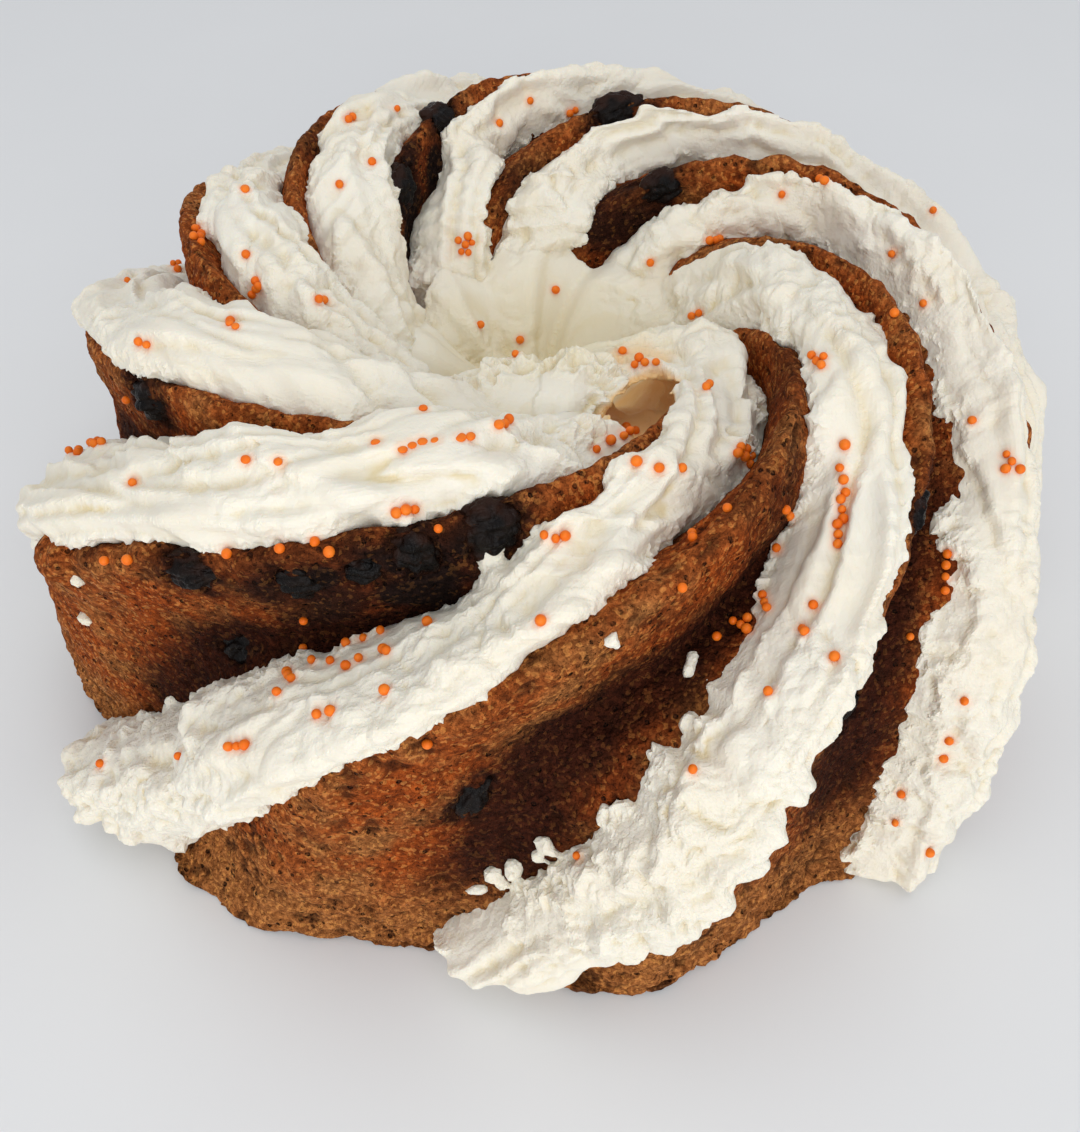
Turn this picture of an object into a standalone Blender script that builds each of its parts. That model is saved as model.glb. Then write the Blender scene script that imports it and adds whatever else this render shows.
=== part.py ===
"""A swirl bundt cake: a ring of sponge whose nine ridges wind round it, berries baked into the sponge,
frosting spread along the grooves and over the hole, and small round orange sprinkles."""

import math
import random

import bmesh
import bpy
import numpy as np
from mathutils import Matrix, Vector, noise
from mathutils.bvhtree import BVHTree

# Lengths below are in millimetres, and MM turns them into metres.
MM = 0.001
GAP = 0.4
MERGE = 0.06

# The sponge is a ring of nine ridges that wind round it from the hole to the base.
RIDGES = 9
PERIOD = math.radians(360 / RIDGES)
FIRST_RIDGE = math.radians(-201)
COLUMNS_PER_RIDGE = 8
GROOVE_AT = 0.52
CREST_SHARPNESS = 0.93

# The meridian over the crests, from the bottom of the hole over the top to the base: radius, height,
# depth of the grooves there, and how far the ridges have wound by then, in degrees.
MERIDIAN = (
    (21, 0, 1, 140),
    (23, 20, 2, 139),
    (26, 42, 4, 134),
    (31, 64, 7, 126),
    (39, 84, 11, 115),
    (52, 98, 16, 96),
    (70, 105, 20, 72),
    (87, 102, 21, 50),
    (103, 90, 21, 29),
    (114, 75, 19, 15),
    (120, 57, 15, 8),
    (124, 34, 12, 5),
    (127, 11, 10, 2),
    (128, 0, 10, 0),
)
LAST_ROW = len(MERIDIAN) - 1

# The rows of the meridian where the surface has points. The first few rings have half as many columns.
RINGS = (0, 1.5, 3, 3.8, 4.5, 5.2, 5.9, 6.6, 7.3, 8, 8.6, 9.2, 9.9, 10.8, 11.7, 12.3, 12.7, 13)
COARSE_RINGS = 4
CAKE_LUMPS = 0.9
FOOT_HEIGHT = 9
FOOT_LIP = 3.0

# Places where the sponge stands further out than that: row of the meridian, ridges round, height, and
# how many rows and ridges each reaches.
SPONGE_SWELLINGS = (
    (8.9, 1.00, 5.0, 1.1, 0.22),
    (11.4, 1.00, 4.0, 2.2, 0.30),
    (13.0, 1.70, 8.0, 0.9, 0.24),
)

# The frosting lies in the groove outside each ridge. Its two edges are given at these rows of the
# meridian, as parts of the way from that ridge to the next.
EDGE_ROWS = (3, 4.5, 6, 7.5, 9, 10.5, 12)
BANDS = (
    # ridge, inner edge, outer edge, last row
    (1, (-0.08, 0.00, 0.13, 0.43, 0.61, 0.50, 0.22), (1.10, 0.68, 0.64, 0.90, 0.98, 0.90, 0.72), 12.4),
    (2, (-0.10, 0.05, 0.12, 0.56, 0.74, 0.66, 0.38), (1.10, 1.00, 0.86, 0.93, 1.06, 1.10, 0.84), 12.7),
    (3, (-0.10, 0.20, 0.60, 0.70, 0.73, 0.70, 0.64), (0.80, 0.74, 0.88, 0.95, 0.96, 0.98, 0.92), 12.9),
    (4, (-0.08, 0.22, 0.62, 0.66, 0.66, 0.62, 0.50), (0.95, 0.82, 0.86, 0.94, 0.98, 0.96, 0.85), 12.6),
    (5, (-0.10, 0.04, 0.58, 0.68, 0.68, 0.60, 0.48), (0.75, 0.64, 0.86, 0.92, 0.97, 0.95, 0.80), 12.5),
    (6, (-0.12, 0.05, 0.20, 0.58, 0.64, 0.58, 0.42), (1.10, 0.90, 0.90, 0.94, 0.97, 0.95, 0.80), 12.2),
    (7, (-0.10, 0.00, 0.14, 0.52, 0.62, 0.58, 0.44), (1.10, 1.00, 0.88, 0.90, 0.94, 0.92, 0.78), 12.5),
    (8, (-0.10, 0.00, 0.08, 0.40, 0.54, 0.56, 0.44), (1.10, 0.95, 0.93, 0.96, 0.95, 0.88, 0.76), 12.0),
    (9, (-0.10, -0.10, 0.06, 0.28, 0.48, 0.55, 0.44), (1.10, 0.75, 0.88, 0.95, 0.92, 0.86, 0.74), 12.2),
)
BAND_HEIGHT = (6, 7, 8, 9, 10, 12, 12)
BAND_START = 2.6
BAND_ROOT = 1.5
BAND_DEPTH = 7
BAND_STEP = 0.74
BAND_EDGE_RAG = 3.0
BAND_LUMPS = 1.6
END_TAPER = 0.6

# Places where the frosting is piled higher, given in the same way.
FROSTING_SWELLINGS = (
    (12.0, 1.36, 6.0, 1.2, 0.30),
    (8.7, 9.62, 4.0, 1.0, 0.30),
    (7.0, 9.30, 4.0, 1.2, 0.30),
    (8.4, 3.95, -4.0, 1.6, 0.30),
    (8.4, 4.95, -3.5, 1.6, 0.30),
    (7.8, 7.90, -4.0, 1.2, 0.35),
    (12.8, 2.75, -5.0, 0.9, 0.25),
)

# The frosting closes the hole in a funnel. A curl of it arches over a small hollow, beside the torn
# end of the ninth band, its tongue, and the thick start of the first.
CAP_TOP = ((0, 61), (8, 63), (18, 70), (28, 78), (36, 80))
CAP_BOTTOM = ((36, 64), (28, 60), (12, 53), (0, 52))
CURL_AT, CURL_SIZE, CURL_TURN = (21, -19, 88), (32, 20, 9), 20
TONGUE_AT, TONGUE_SIZE, TONGUE_TURN = (-3, -31, 86), (42, 20, 19), 15
START_AT, START_SIZE, START_TURN = (33, -25, 88), (36, 17, 13), 80
HOLLOW_AT, HOLLOW_SIZE = (20, -26, 81.5), (20, 16, 12)

# Berries: row of the meridian, ridges round, length along the ridge, width and depth.
BERRIES = (
    (7.46, 9.14, 13, 11, 9),
    (8.12, 1.10, 12, 9, 8),
    (7.68, 1.17, 12, 13, 9),
    (7.36, 1.17, 9, 8, 8),
    (7.06, 1.15, 9, 11, 8),
    (6.62, 1.14, 13, 13, 8),
    (9.43, 1.50, 11, 9, 8),
    (10.0, 2.38, 14, 8, 8),
    (10.0, 3.48, 11, 9, 8),
    (7.70, 3.08, 14, 6, 8),
    (5.75, 4.92, 16, 10, 8),
    (4.95, 5.90, 12, 10, 8),
    (5.75, 5.92, 10, 9, 8),
    (4.80, 3.90, 12, 9, 8),
    (9.60, 5.25, 12, 11, 8),
    (9.20, 7.20, 13, 10, 8),
)
BERRY_PROUD = 1.2

# Sprinkles: how many are drawn for the frosting and for the bare sponge, and their size.
SPRINKLE_RADIUS = 1.3
FROSTING_SPRINKLES = 30
SPONGE_SPRINKLES = 14
SPRINKLE_SPACING = 4.5

# This moves the middle of the footprint to the origin.
FOOTPRINT_SHIFT = (-1.06, 2.24, 0.0)

SPONGE_BROWN = (0.36, 0.16, 0.055)
FROSTING_WHITE = (0.86, 0.83, 0.75)
BERRY_DARK = (0.012, 0.012, 0.02)


def catmull(values, s):
    """A smooth curve through values, where s runs from 0 to 1 over the whole list."""
    v = np.asarray(values, float)
    x = np.clip(np.asarray(s, float), 0, 1) * (len(v) - 1)
    i = np.minimum(x.astype(int), len(v) - 2)
    t = x - i
    a = v[np.maximum(i - 1, 0)]
    b = v[i]
    c = v[i + 1]
    d = v[np.minimum(i + 2, len(v) - 1)]
    return 0.5 * (2 * b + (c - a) * t + (2 * a - 5 * b + 4 * c - d) * t**2 + (3 * b - a - 3 * c + d) * t**3)


def meridian(s):
    """Radius, height, groove depth, winding and the outward normal at s along the meridian."""
    radii, heights, depths, winds = zip(*MERIDIAN)
    step = 0.004
    dr = catmull(radii, s + step) - catmull(radii, s - step)
    dz = catmull(heights, s + step) - catmull(heights, s - step)
    size = np.hypot(dr, dz)
    wind = np.radians(catmull(winds, s))
    return catmull(radii, s), catmull(heights, s), catmull(depths, s), wind, -dz / size, dr / size


def crest_wave(turn):
    """1 on a crest, where turn is a whole number, and 0 in the groove between two."""
    u = np.mod(turn, 1.0)
    u = np.where(u < GROOVE_AT, 0.5 * u / GROOVE_AT, 1 - 0.5 * (1 - u) / (1 - GROOVE_AT))
    k = CREST_SHARPNESS
    return 0.5 + np.arcsin(k * np.cos(2 * np.pi * u)) / (2 * math.asin(k))


def place(s, turn, lift):
    """The point at s along the meridian and turn ridges round, lift outside the surface over the crests."""
    r, z, _, wind, out, up = meridian(s)
    angle = FIRST_RIDGE + PERIOD * turn + wind
    radius = r + lift * out
    return np.stack([radius * np.cos(angle), radius * np.sin(angle), z + lift * up], -1)


def swelling(s, turn, places):
    """How far the places of a table of swellings lift the surface at s and turn."""
    lift = 0.0
    for row, middle, height, rows, ridges in places:
        away = np.mod(turn - middle + RIDGES / 2, RIDGES) - RIDGES / 2
        lift = lift + height * np.exp(-(((s * LAST_ROW - row) / rows) ** 2) - (away / ridges) ** 2)
    return lift


def groove_lift(s, turn):
    """How far the ridged surface lies outside the surface over the crests."""
    return swelling(s, turn, SPONGE_SWELLINGS) - meridian(s)[2] * (1 - crest_wave(turn))


def sponge(s, turn, lift=0.0):
    """A point of the ridged surface, or lift outside it."""
    return place(s, turn, groove_lift(s, turn) + lift)


def wobble(points, size, seed):
    """Smooth noise between -1 and 1 at each of the points, with lumps of about the size given."""
    shift = Vector((7.3 * seed, 3.1 * seed, 5.7 * seed))
    flat = np.reshape(points, (-1, 3))
    return np.array([noise.noise(Vector(p) / size + shift) for p in flat]).reshape(np.shape(points)[:-1])


def object_from(name, vertices, faces):
    """A mesh object from points in millimetres, with its faces pointing out."""
    mesh = bpy.data.meshes.new(name)
    mesh.from_pydata([tuple(v) for v in np.asarray(vertices) * MM], [], faces)
    work = bmesh.new()
    work.from_mesh(mesh)
    bmesh.ops.recalc_face_normals(work, faces=work.faces)
    work.to_mesh(mesh)
    work.free()
    return bpy.data.objects.new(name, mesh)


def halves(a, b, c, d):
    """The two triangles of a four-sided face, always cut along the same corner."""
    return [(a, b, c), (a, c, d)]


def bridge(first, second):
    """The triangles between two closed rings of points, where the second has as many or twice as many."""
    count = len(first)
    step = len(second) // count
    faces = []
    for j in range(count):
        a, b = first[j], first[(j + 1) % count]
        c, d = second[step * j], second[step * (j + 1) % len(second)]
        if step == 1:
            faces += halves(a, b, d, c)
        else:
            middle = second[step * j + 1]
            faces += [(a, middle, c), (a, b, middle), (b, d, middle)]
    return faces


def cake_surface():
    """The points and triangles of the whole ring of sponge."""
    points, rings = [], []
    for number, row in enumerate(RINGS):
        columns = COLUMNS_PER_RIDGE // 2 if number < COARSE_RINGS else COLUMNS_PER_RIDGE
        turn = np.arange(RIDGES * columns) / columns
        s = np.full(len(turn), row / LAST_ROW)
        smooth = sponge(s, turn)
        foot = np.clip(1 - smooth[:, 2] / FOOT_HEIGHT, 0, 1) * (row > LAST_ROW / 2)
        lift = CAKE_LUMPS * wobble(smooth, 22, 1) + foot * FOOT_LIP * (0.5 + 0.9 * wobble(smooth, 9, 2))
        ring = sponge(s, turn, lift)
        ring[:, 2] = 0 if row in (0, LAST_ROW) else np.maximum(ring[:, 2], 0)
        rings.append(range(len(points), len(points) + len(turn)))
        points.extend(ring)
    faces = []
    for inner, outer in zip(rings, rings[1:]):
        faces += bridge(inner, outer)
    wound = round((MERIDIAN[0][3] - MERIDIAN[-1][3]) / 360 * len(rings[-1]))
    last = np.roll(rings[-1], -wound)
    return points, faces + bridge(rings[0], [int(n) for n in last])


def grown(name, item, extra):
    """A copy of the object with every face moved out by extra."""
    made = bpy.data.objects.new(name, item.data.copy())
    work = bmesh.new()
    work.from_mesh(made.data)
    moves = []
    for vertex in work.verts:
        normals = np.array([face.normal for face in vertex.link_faces])
        moves.append(np.linalg.lstsq(normals, np.full(len(normals), extra * MM), rcond=0.1)[0])
    for vertex, move in zip(work.verts, moves):
        vertex.co += Vector(move)
    work.to_mesh(made.data)
    work.free()
    return made


def edge_at(edge, row):
    """The edge of a band at a row of the meridian."""
    return catmull(edge, (row - EDGE_ROWS[0]) / (EDGE_ROWS[-1] - EDGE_ROWS[0]))


def band_points(ridge, inner, outer, last_row):
    """Rings of points round a band of frosting, from the hole to its end at the base."""
    count = round((last_row - BAND_START) / BAND_STEP) + 1
    across = np.array([-1, -0.9, -0.6, -0.2, 0.2, 0.6, 0.9, 1])
    arch = (1 - np.abs(across) ** 2.6) ** 0.62
    rings = []
    for row in np.linspace(BAND_START, last_row, count):
        s = row / LAST_ROW
        low, high = ridge + edge_at(inner, row), ridge + edge_at(outer, row)
        middle = place(s, (low + high) / 2, 0)
        rag = BAND_EDGE_RAG / (PERIOD * meridian(s)[0])
        low += rag * wobble(middle, 13, 10 + ridge)
        high += rag * wobble(middle, 13, 30 + ridge)
        turn = low + (high - low) * (across + 1) / 2
        low_lift, high_lift = groove_lift(s, low), groove_lift(s, high)
        chord = low_lift + (high_lift - low_lift) * (across + 1) / 2
        taper = min(1, (last_row - row) / END_TAPER + 0.35)
        height = edge_at(BAND_HEIGHT, row) * taper + BAND_LUMPS * wobble(middle, 17, 50 + ridge)
        height += swelling(s, turn, FROSTING_SWELLINGS)
        top = np.maximum(chord, groove_lift(s, turn)) + height * arch - BAND_ROOT * (1 - arch)
        back = turn[[5, 2]]
        rings.append(np.concatenate([place(s, turn, top), place(s, back, groove_lift(s, back) - BAND_DEPTH)]))
    return rings


def loft(name, rings):
    """A closed skin over rings of points, with a fan of triangles over each end."""
    size = len(rings[0])
    faces = []
    for i in range(len(rings) - 1):
        for j in range(size):
            k = (j + 1) % size
            faces += halves(i * size + j, i * size + k, (i + 1) * size + k, (i + 1) * size + j)
    points = np.concatenate(rings)
    for start in (0, (len(rings) - 1) * size):
        centre = len(points)
        points = np.vstack([points, points[start : start + size].mean(0)])
        faces += [(start + j, start + (j + 1) % size, centre) for j in range(size)]
    return object_from(name, points, faces)


def turned(name, profile, steps):
    """A solid turned round the Z axis from a profile of (radius, height) that starts and ends on it."""
    mesh = bpy.data.meshes.new(name)
    points = [(r * MM, 0, z * MM) for r, z in profile]
    mesh.from_pydata(points, [(i, i + 1) for i in range(len(points) - 1)], [])
    made = bpy.data.objects.new(name, mesh)
    screw = made.modifiers.new("turn", "SCREW")
    screw.steps = screw.render_steps = steps
    screw.use_merge_vertices = True
    screw.merge_threshold = 0.0001
    return made


def pebble(name, centre, axes, sizes, subdivisions, lumps, seed):
    """A lumpy ellipsoid of the three full sizes along the columns of axes."""
    mesh = bpy.data.meshes.new(name)
    work = bmesh.new()
    bmesh.ops.create_icosphere(work, subdivisions=subdivisions, radius=1)
    for vertex in work.verts:
        swell = 1 + lumps * noise.noise(vertex.co * 1.4 + Vector((seed, 2 * seed, 3 * seed)))
        local = Vector(c * size / 2 * swell for c, size in zip(vertex.co, sizes))
        vertex.co = (Vector(centre) + axes @ local) * MM
    work.to_mesh(mesh)
    work.free()
    return bpy.data.objects.new(name, mesh)


def frame_at(s, turn):
    """The surface's point, and axes along the ridge, across it and outward."""
    here = Vector(sponge(s, turn))
    along = (Vector(sponge(s + 0.01, turn)) - Vector(sponge(s - 0.01, turn))).normalized()
    across = (Vector(sponge(s, turn + 0.04)) - Vector(sponge(s, turn - 0.04))).normalized()
    out = across.cross(along).normalized()
    if out.dot(Vector(place(s, turn, 1)) - Vector(place(s, turn, 0))) < 0:
        out = -out
    axes = Matrix((along, out.cross(along), out)).transposed()
    return here, axes


def berry(number, row, turn, sizes, extra):
    """A baked berry, or with extra the pocket that it sits in."""
    here, axes = frame_at(row / LAST_ROW, turn)
    centre = here + axes.col[2] * (BERRY_PROUD - sizes[2] / 2)
    grown = [size + 2 * extra for size in sizes]
    return pebble(f"berry_{number:02d}", centre, axes, grown, 2, 0.16, number)


def group(name, objects, shown):
    """A collection of its own for the objects, left out of renders unless shown."""
    made = bpy.data.collections.new(name)
    bpy.context.scene.collection.children.link(made)
    for item in objects:
        made.objects.link(item)
        if not shown:
            item.hide_render = True
            item.display_type = "WIRE"
    return made


def apply_modifiers(item):
    """Replaces the object's mesh by what its modifiers make of it."""
    bpy.context.view_layer.update()
    graph = bpy.context.evaluated_depsgraph_get()
    mesh = bpy.data.meshes.new_from_object(item.evaluated_get(graph))
    item.modifiers.clear()
    item.data = mesh


def combine(item, operation, others, solver="EXACT"):
    """One Boolean of the object with all the others, which are then removed."""
    operands = group(item.name + "_operands", others, False)
    cut = item.modifiers.new(operation.lower(), "BOOLEAN")
    cut.operation = operation
    cut.operand_type = "COLLECTION"
    cut.collection = operands
    cut.solver = solver
    apply_modifiers(item)
    for other in others:
        bpy.data.objects.remove(other)
    bpy.data.collections.remove(operands)


def keep_largest(item):
    """Drops loose scraps, leaving the piece with the most vertices."""
    work = bmesh.new()
    work.from_mesh(item.data)
    bmesh.ops.remove_doubles(work, verts=work.verts, dist=MERGE * MM)
    bmesh.ops.dissolve_degenerate(work, edges=work.edges, dist=MERGE * MM)
    left = set(work.verts)
    pieces = []
    while left:
        piece, edge = set(), {left.pop()}
        while edge:
            piece |= edge
            edge = {e.other_vert(v) for v in edge for e in v.link_edges} - piece
        left -= piece
        pieces.append(piece)
    largest = max(pieces, key=len)
    bmesh.ops.delete(work, geom=[v for v in work.verts if v not in largest], context="VERTS")
    work.to_mesh(item.data)
    work.free()


def tree_of(item):
    """A search tree over the object's faces, in metres."""
    work = bmesh.new()
    work.from_mesh(item.data)
    tree = BVHTree.FromBMesh(work)
    work.free()
    return tree


def sprinkles_on(target, others, count, seed):
    """Small balls half sunk in the target's surface, apart from each other and clear of the others."""
    rng = random.Random(seed)
    tree = tree_of(target)
    other_trees = [tree_of(other) for other in others]
    placed = []
    balls = []
    while len(balls) < count:
        s = rng.uniform(3.4, 12.3) / LAST_ROW
        turn = rng.uniform(0, RIDGES)
        start = Vector(place(s, turn, 25)) * MM
        inward = (Vector(place(s, turn, -25)) * MM - start).normalized()
        spot, normal, _, _ = tree.ray_cast(start, inward, 50 * MM)
        if spot is None or normal.dot(inward) > -0.5 or spot.z < 6 * MM:
            continue
        centre = spot + normal * (0.35 * SPRINKLE_RADIUS * MM)
        near = SPRINKLE_SPACING * MM
        if any((centre - other).length < near for other in placed):
            continue
        clear = (SPRINKLE_RADIUS + 1.0) * MM
        if any(other.find_nearest(centre)[3] < clear for other in other_trees):
            continue
        placed.append(centre)
        size = [2 * SPRINKLE_RADIUS] * 3
        balls.append(pebble("sprinkle", centre / MM, Matrix.Identity(3), size, 1, 0, 0))
    return balls


def material(name, colour, roughness):
    """A plain Principled material."""
    made = bpy.data.materials.new(name)
    made.use_nodes = True
    shader = made.node_tree.nodes["Principled BSDF"]
    shader.inputs["Base Color"].default_value = (*colour, 1)
    shader.inputs["Roughness"].default_value = roughness
    return made


def clear_scene():
    """Removes whatever the scene holds."""
    for item in list(bpy.data.objects):
        bpy.data.objects.remove(item)


def make_cake():
    """The ridged ring of sponge, with a pocket for each berry."""
    cake = object_from("cake", *cake_surface())
    pockets = [berry(n + 1, row, turn, sizes, GAP) for n, (row, turn, *sizes) in enumerate(BERRIES)]
    return cake, pockets


def about_z(degrees):
    """Axes turned about Z."""
    return Matrix.Rotation(math.radians(degrees), 3, "Z")


def make_frosting():
    """The bands in the grooves, joined to each other over the hole."""
    bands = [loft("band", band_points(*band)) for band in BANDS]
    cap = turned("frosting", CAP_BOTTOM[::-1] + CAP_TOP[::-1], 24)
    curl = pebble("curl", CURL_AT, about_z(CURL_TURN), CURL_SIZE, 2, 0.1, 5)
    tongue = pebble("tongue", TONGUE_AT, about_z(TONGUE_TURN), TONGUE_SIZE, 2, 0.1, 6)
    start = pebble("start", START_AT, about_z(START_TURN), START_SIZE, 2, 0.1, 7)
    return cap, bands + [curl, tongue, start]


def main():
    clear_scene()
    model = bpy.data.collections.new("bundt_cake")
    bpy.context.scene.collection.children.link(model)
    cake, pockets = make_cake()
    frosting, additions = make_frosting()
    model.objects.link(cake)
    model.objects.link(frosting)
    combine(frosting, "UNION", additions)
    seat = grown("seat", cake, GAP + 0.1)
    hollow = pebble("hollow", HOLLOW_AT, about_z(CURL_TURN), HOLLOW_SIZE, 2, 0, 0)
    combine(frosting, "DIFFERENCE", [seat, hollow] + [item.copy() for item in pockets])
    keep_largest(frosting)
    combine(cake, "DIFFERENCE", pockets)
    berries = [berry(n + 1, row, turn, sizes, 0) for n, (row, turn, *sizes) in enumerate(BERRIES)]
    for item in berries:
        model.objects.link(item)
    for target, other, count, seed in (
        (frosting, cake, FROSTING_SPRINKLES, 11),
        (cake, frosting, SPONGE_SPRINKLES, 12),
    ):
        combine(target, "UNION", sprinkles_on(target, [other, *berries], count, seed))
        keep_largest(target)
    finishes = {
        "cake": material("sponge", SPONGE_BROWN, 0.85),
        "frosting": material("frosting", FROSTING_WHITE, 0.55),
        "berry": material("berry", BERRY_DARK, 0.45),
    }
    for item in model.objects:
        item.data.materials.clear()
        item.data.materials.append(finishes[item.name.split("_")[0]])
        item.data.transform(Matrix.Translation(Vector(FOOTPRINT_SHIFT) * MM))
        item.data.shade_smooth()
        item.data.set_sharp_from_angle(angle=math.radians(50))


main()
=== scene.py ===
"""The looks of a swirl bundt cake: crumbly sponge ridges, torn and smeared frosting, baked berries and
small orange sprinkles, on a pale floor in soft light."""

import itertools
import math
import random

import bmesh
import bpy
import numpy as np
from mathutils import Matrix, Vector, noise
from mathutils.bvhtree import BVHTree
from mathutils.kdtree import KDTree


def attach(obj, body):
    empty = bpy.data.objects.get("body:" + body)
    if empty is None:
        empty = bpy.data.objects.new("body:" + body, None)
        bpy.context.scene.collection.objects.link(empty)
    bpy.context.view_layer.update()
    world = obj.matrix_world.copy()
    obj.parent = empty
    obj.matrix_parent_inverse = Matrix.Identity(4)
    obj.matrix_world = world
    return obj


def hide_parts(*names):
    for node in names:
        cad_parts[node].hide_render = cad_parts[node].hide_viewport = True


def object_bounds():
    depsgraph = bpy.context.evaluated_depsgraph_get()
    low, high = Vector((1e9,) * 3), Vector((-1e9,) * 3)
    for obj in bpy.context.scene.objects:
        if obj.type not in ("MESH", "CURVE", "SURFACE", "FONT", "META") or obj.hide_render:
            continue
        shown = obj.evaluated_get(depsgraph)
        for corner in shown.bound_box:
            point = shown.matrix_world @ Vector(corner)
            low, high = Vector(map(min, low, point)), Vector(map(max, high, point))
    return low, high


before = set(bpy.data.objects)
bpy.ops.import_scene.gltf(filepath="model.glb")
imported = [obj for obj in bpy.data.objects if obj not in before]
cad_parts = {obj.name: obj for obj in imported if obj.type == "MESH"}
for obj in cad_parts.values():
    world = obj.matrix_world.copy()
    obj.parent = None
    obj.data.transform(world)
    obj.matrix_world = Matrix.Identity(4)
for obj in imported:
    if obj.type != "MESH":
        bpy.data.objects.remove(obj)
cad_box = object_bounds()

# ---- The forms of the solid model, in millimetres ----
MM = 0.001
RIDGES = 9
PERIOD = math.radians(360 / RIDGES)
FIRST_RIDGE = math.radians(-201)
GROOVE_AT = 0.52
CREST_SHARPNESS = 0.93
# Radius, height, groove depth and winding in degrees, from the foot of the hole over the top to the base.
MERIDIAN = (
    (21, 0, 1, 140), (23, 20, 2, 139), (26, 42, 4, 134), (31, 64, 7, 126), (39, 84, 11, 115),
    (52, 98, 16, 96), (70, 105, 20, 72), (87, 102, 21, 50), (103, 90, 21, 29), (114, 75, 19, 15),
    (120, 57, 15, 8), (124, 34, 12, 5), (127, 11, 10, 2), (128, 0, 10, 0),
)
LAST_ROW = len(MERIDIAN) - 1
CAKE_LUMPS = 0.9
FOOT_HEIGHT = 9
FOOT_LIP = 3.0
# Row, ridges round, height, and how many rows and ridges each swelling reaches.
SPONGE_SWELLINGS = (
    (8.9, 1.0, 5.0, 1.1, 0.22), (11.4, 1.0, 4.0, 2.2, 0.3), (13.0, 1.7, 8.0, 0.9, 0.24),
)
EDGE_ROWS = (3, 4.5, 6, 7.5, 9, 10.5, 12)
BANDS = (
    # ridge, inner edge, outer edge, last row
    (1, (-0.08, 0.0, 0.13, 0.43, 0.61, 0.5, 0.22), (1.1, 0.68, 0.64, 0.9, 0.98, 0.9, 0.72), 12.4),
    (2, (-0.1, 0.05, 0.12, 0.56, 0.74, 0.7, 0.44), (1.1, 1.0, 0.86, 0.93, 1.03, 1.03, 0.76), 12.4),
    (3, (-0.1, 0.2, 0.6, 0.7, 0.73, 0.7, 0.64), (0.8, 0.74, 0.88, 0.95, 0.96, 0.98, 0.92), 12.9),
    (4, (-0.08, 0.22, 0.62, 0.66, 0.66, 0.62, 0.5), (0.95, 0.82, 0.86, 0.94, 0.98, 0.96, 0.85), 12.6),
    (5, (-0.1, 0.04, 0.58, 0.68, 0.68, 0.6, 0.48), (0.75, 0.64, 0.86, 0.92, 0.97, 0.95, 0.8), 12.5),
    (6, (-0.12, 0.05, 0.2, 0.58, 0.64, 0.58, 0.42), (1.1, 0.9, 0.9, 0.94, 0.97, 0.95, 0.8), 12.2),
    (7, (-0.1, 0.0, 0.14, 0.52, 0.62, 0.58, 0.44), (1.1, 1.0, 0.88, 0.9, 0.94, 0.92, 0.78), 12.5),
    (8, (-0.1, 0.0, 0.08, 0.4, 0.54, 0.56, 0.44), (1.1, 0.95, 0.93, 0.96, 0.95, 0.88, 0.76), 12.0),
    (9, (-0.1, -0.1, 0.06, 0.28, 0.48, 0.55, 0.44), (1.1, 0.75, 0.88, 0.95, 0.92, 0.86, 0.74), 12.2),
)
BAND_HEIGHT = (6, 7, 8, 9, 10, 12, 12)
BAND_START = 2.6
BAND_ROOT = 1.5
BAND_EDGE_RAG = 3.0
BAND_LUMPS = 1.6
END_TAPER = 0.6
FROSTING_SWELLINGS = (
    (12.0, 1.36, 6.0, 1.2, 0.3), (8.7, 9.62, 4.0, 1.0, 0.3), (7.0, 9.3, 4.0, 1.2, 0.3),
    (8.4, 3.95, -4.0, 1.6, 0.3), (8.4, 4.95, -3.5, 1.6, 0.3), (7.8, 7.9, -4.0, 1.2, 0.35),
    (12.8, 2.75, -5.0, 0.9, 0.25),
)
CAP_TOP = ((0, 61), (8, 63), (18, 70), (28, 78), (36, 80))
CAP_BOTTOM = 54
CURL_TURN = 20
# Lumps of frosting: the name, the centre, the turn about Z and the full sizes.
SLABS = (
    ("curl", (21, -19, 88), CURL_TURN, (32, 20, 9)),
    ("tongue", (-3, -31, 86), 15, (42, 20, 19)),
    ("start", (33, -25, 88), 80, (36, 17, 13)),
)
HOLLOW_AT, HOLLOW_SIZE = (19.5, -25, 84.5), (23, 15, 12.5)
HOLLOW_MOUTH = 23
HOLLOW_BACK = (-4, 8, -5)
# Row, ridges round, length along the ridge, width and depth.
BERRIES = (
    (7.46, 9.14, 13, 11, 9), (8.12, 1.1, 12, 9, 8), (7.68, 1.17, 12, 13, 9), (7.36, 1.17, 9, 8, 8),
    (7.06, 1.15, 9, 11, 8), (6.62, 1.14, 13, 13, 8), (9.43, 1.5, 11, 9, 8), (10.0, 2.38, 14, 8, 8),
    (10.0, 3.48, 11, 9, 8), (7.7, 3.08, 14, 6, 8), (5.75, 4.92, 16, 10, 8), (4.95, 5.9, 12, 10, 8),
    (5.75, 5.92, 10, 9, 8), (4.8, 3.9, 12, 9, 8), (9.6, 5.25, 12, 11, 8), (9.2, 7.2, 13, 10, 8),
)
BERRY_PROUD = 1.2
FOOTPRINT_SHIFT = np.array((-1.06, 2.24, 0.0))

# ---- The camera, as the photograph was taken ----
PHOTO_WIDTH, PHOTO_HEIGHT = 1080, 1132
FOCAL_PIXELS = 1084
CAMERA_ELEVATION = math.radians(50.89)
CAMERA_ROLL = math.radians(0.205)
CAMERA_TARGET = np.array((-1.9, -4.87, 0.0))
CAMERA_DISTANCE = 318.0
SENSOR_HEIGHT = 24.0

# ---- The fine surfaces, in millimetres ----
# Where the rows of the sponge's mesh start and end, and how far apart they are.
HIDDEN_ROWS = (0, 1, 2, 3)
INNER_ROWS = (3.2, 5.0, 0.15)
OUTER_ROWS = (5.0, 13.0, 0.042)
SPONGE_COLUMNS = 96
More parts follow.
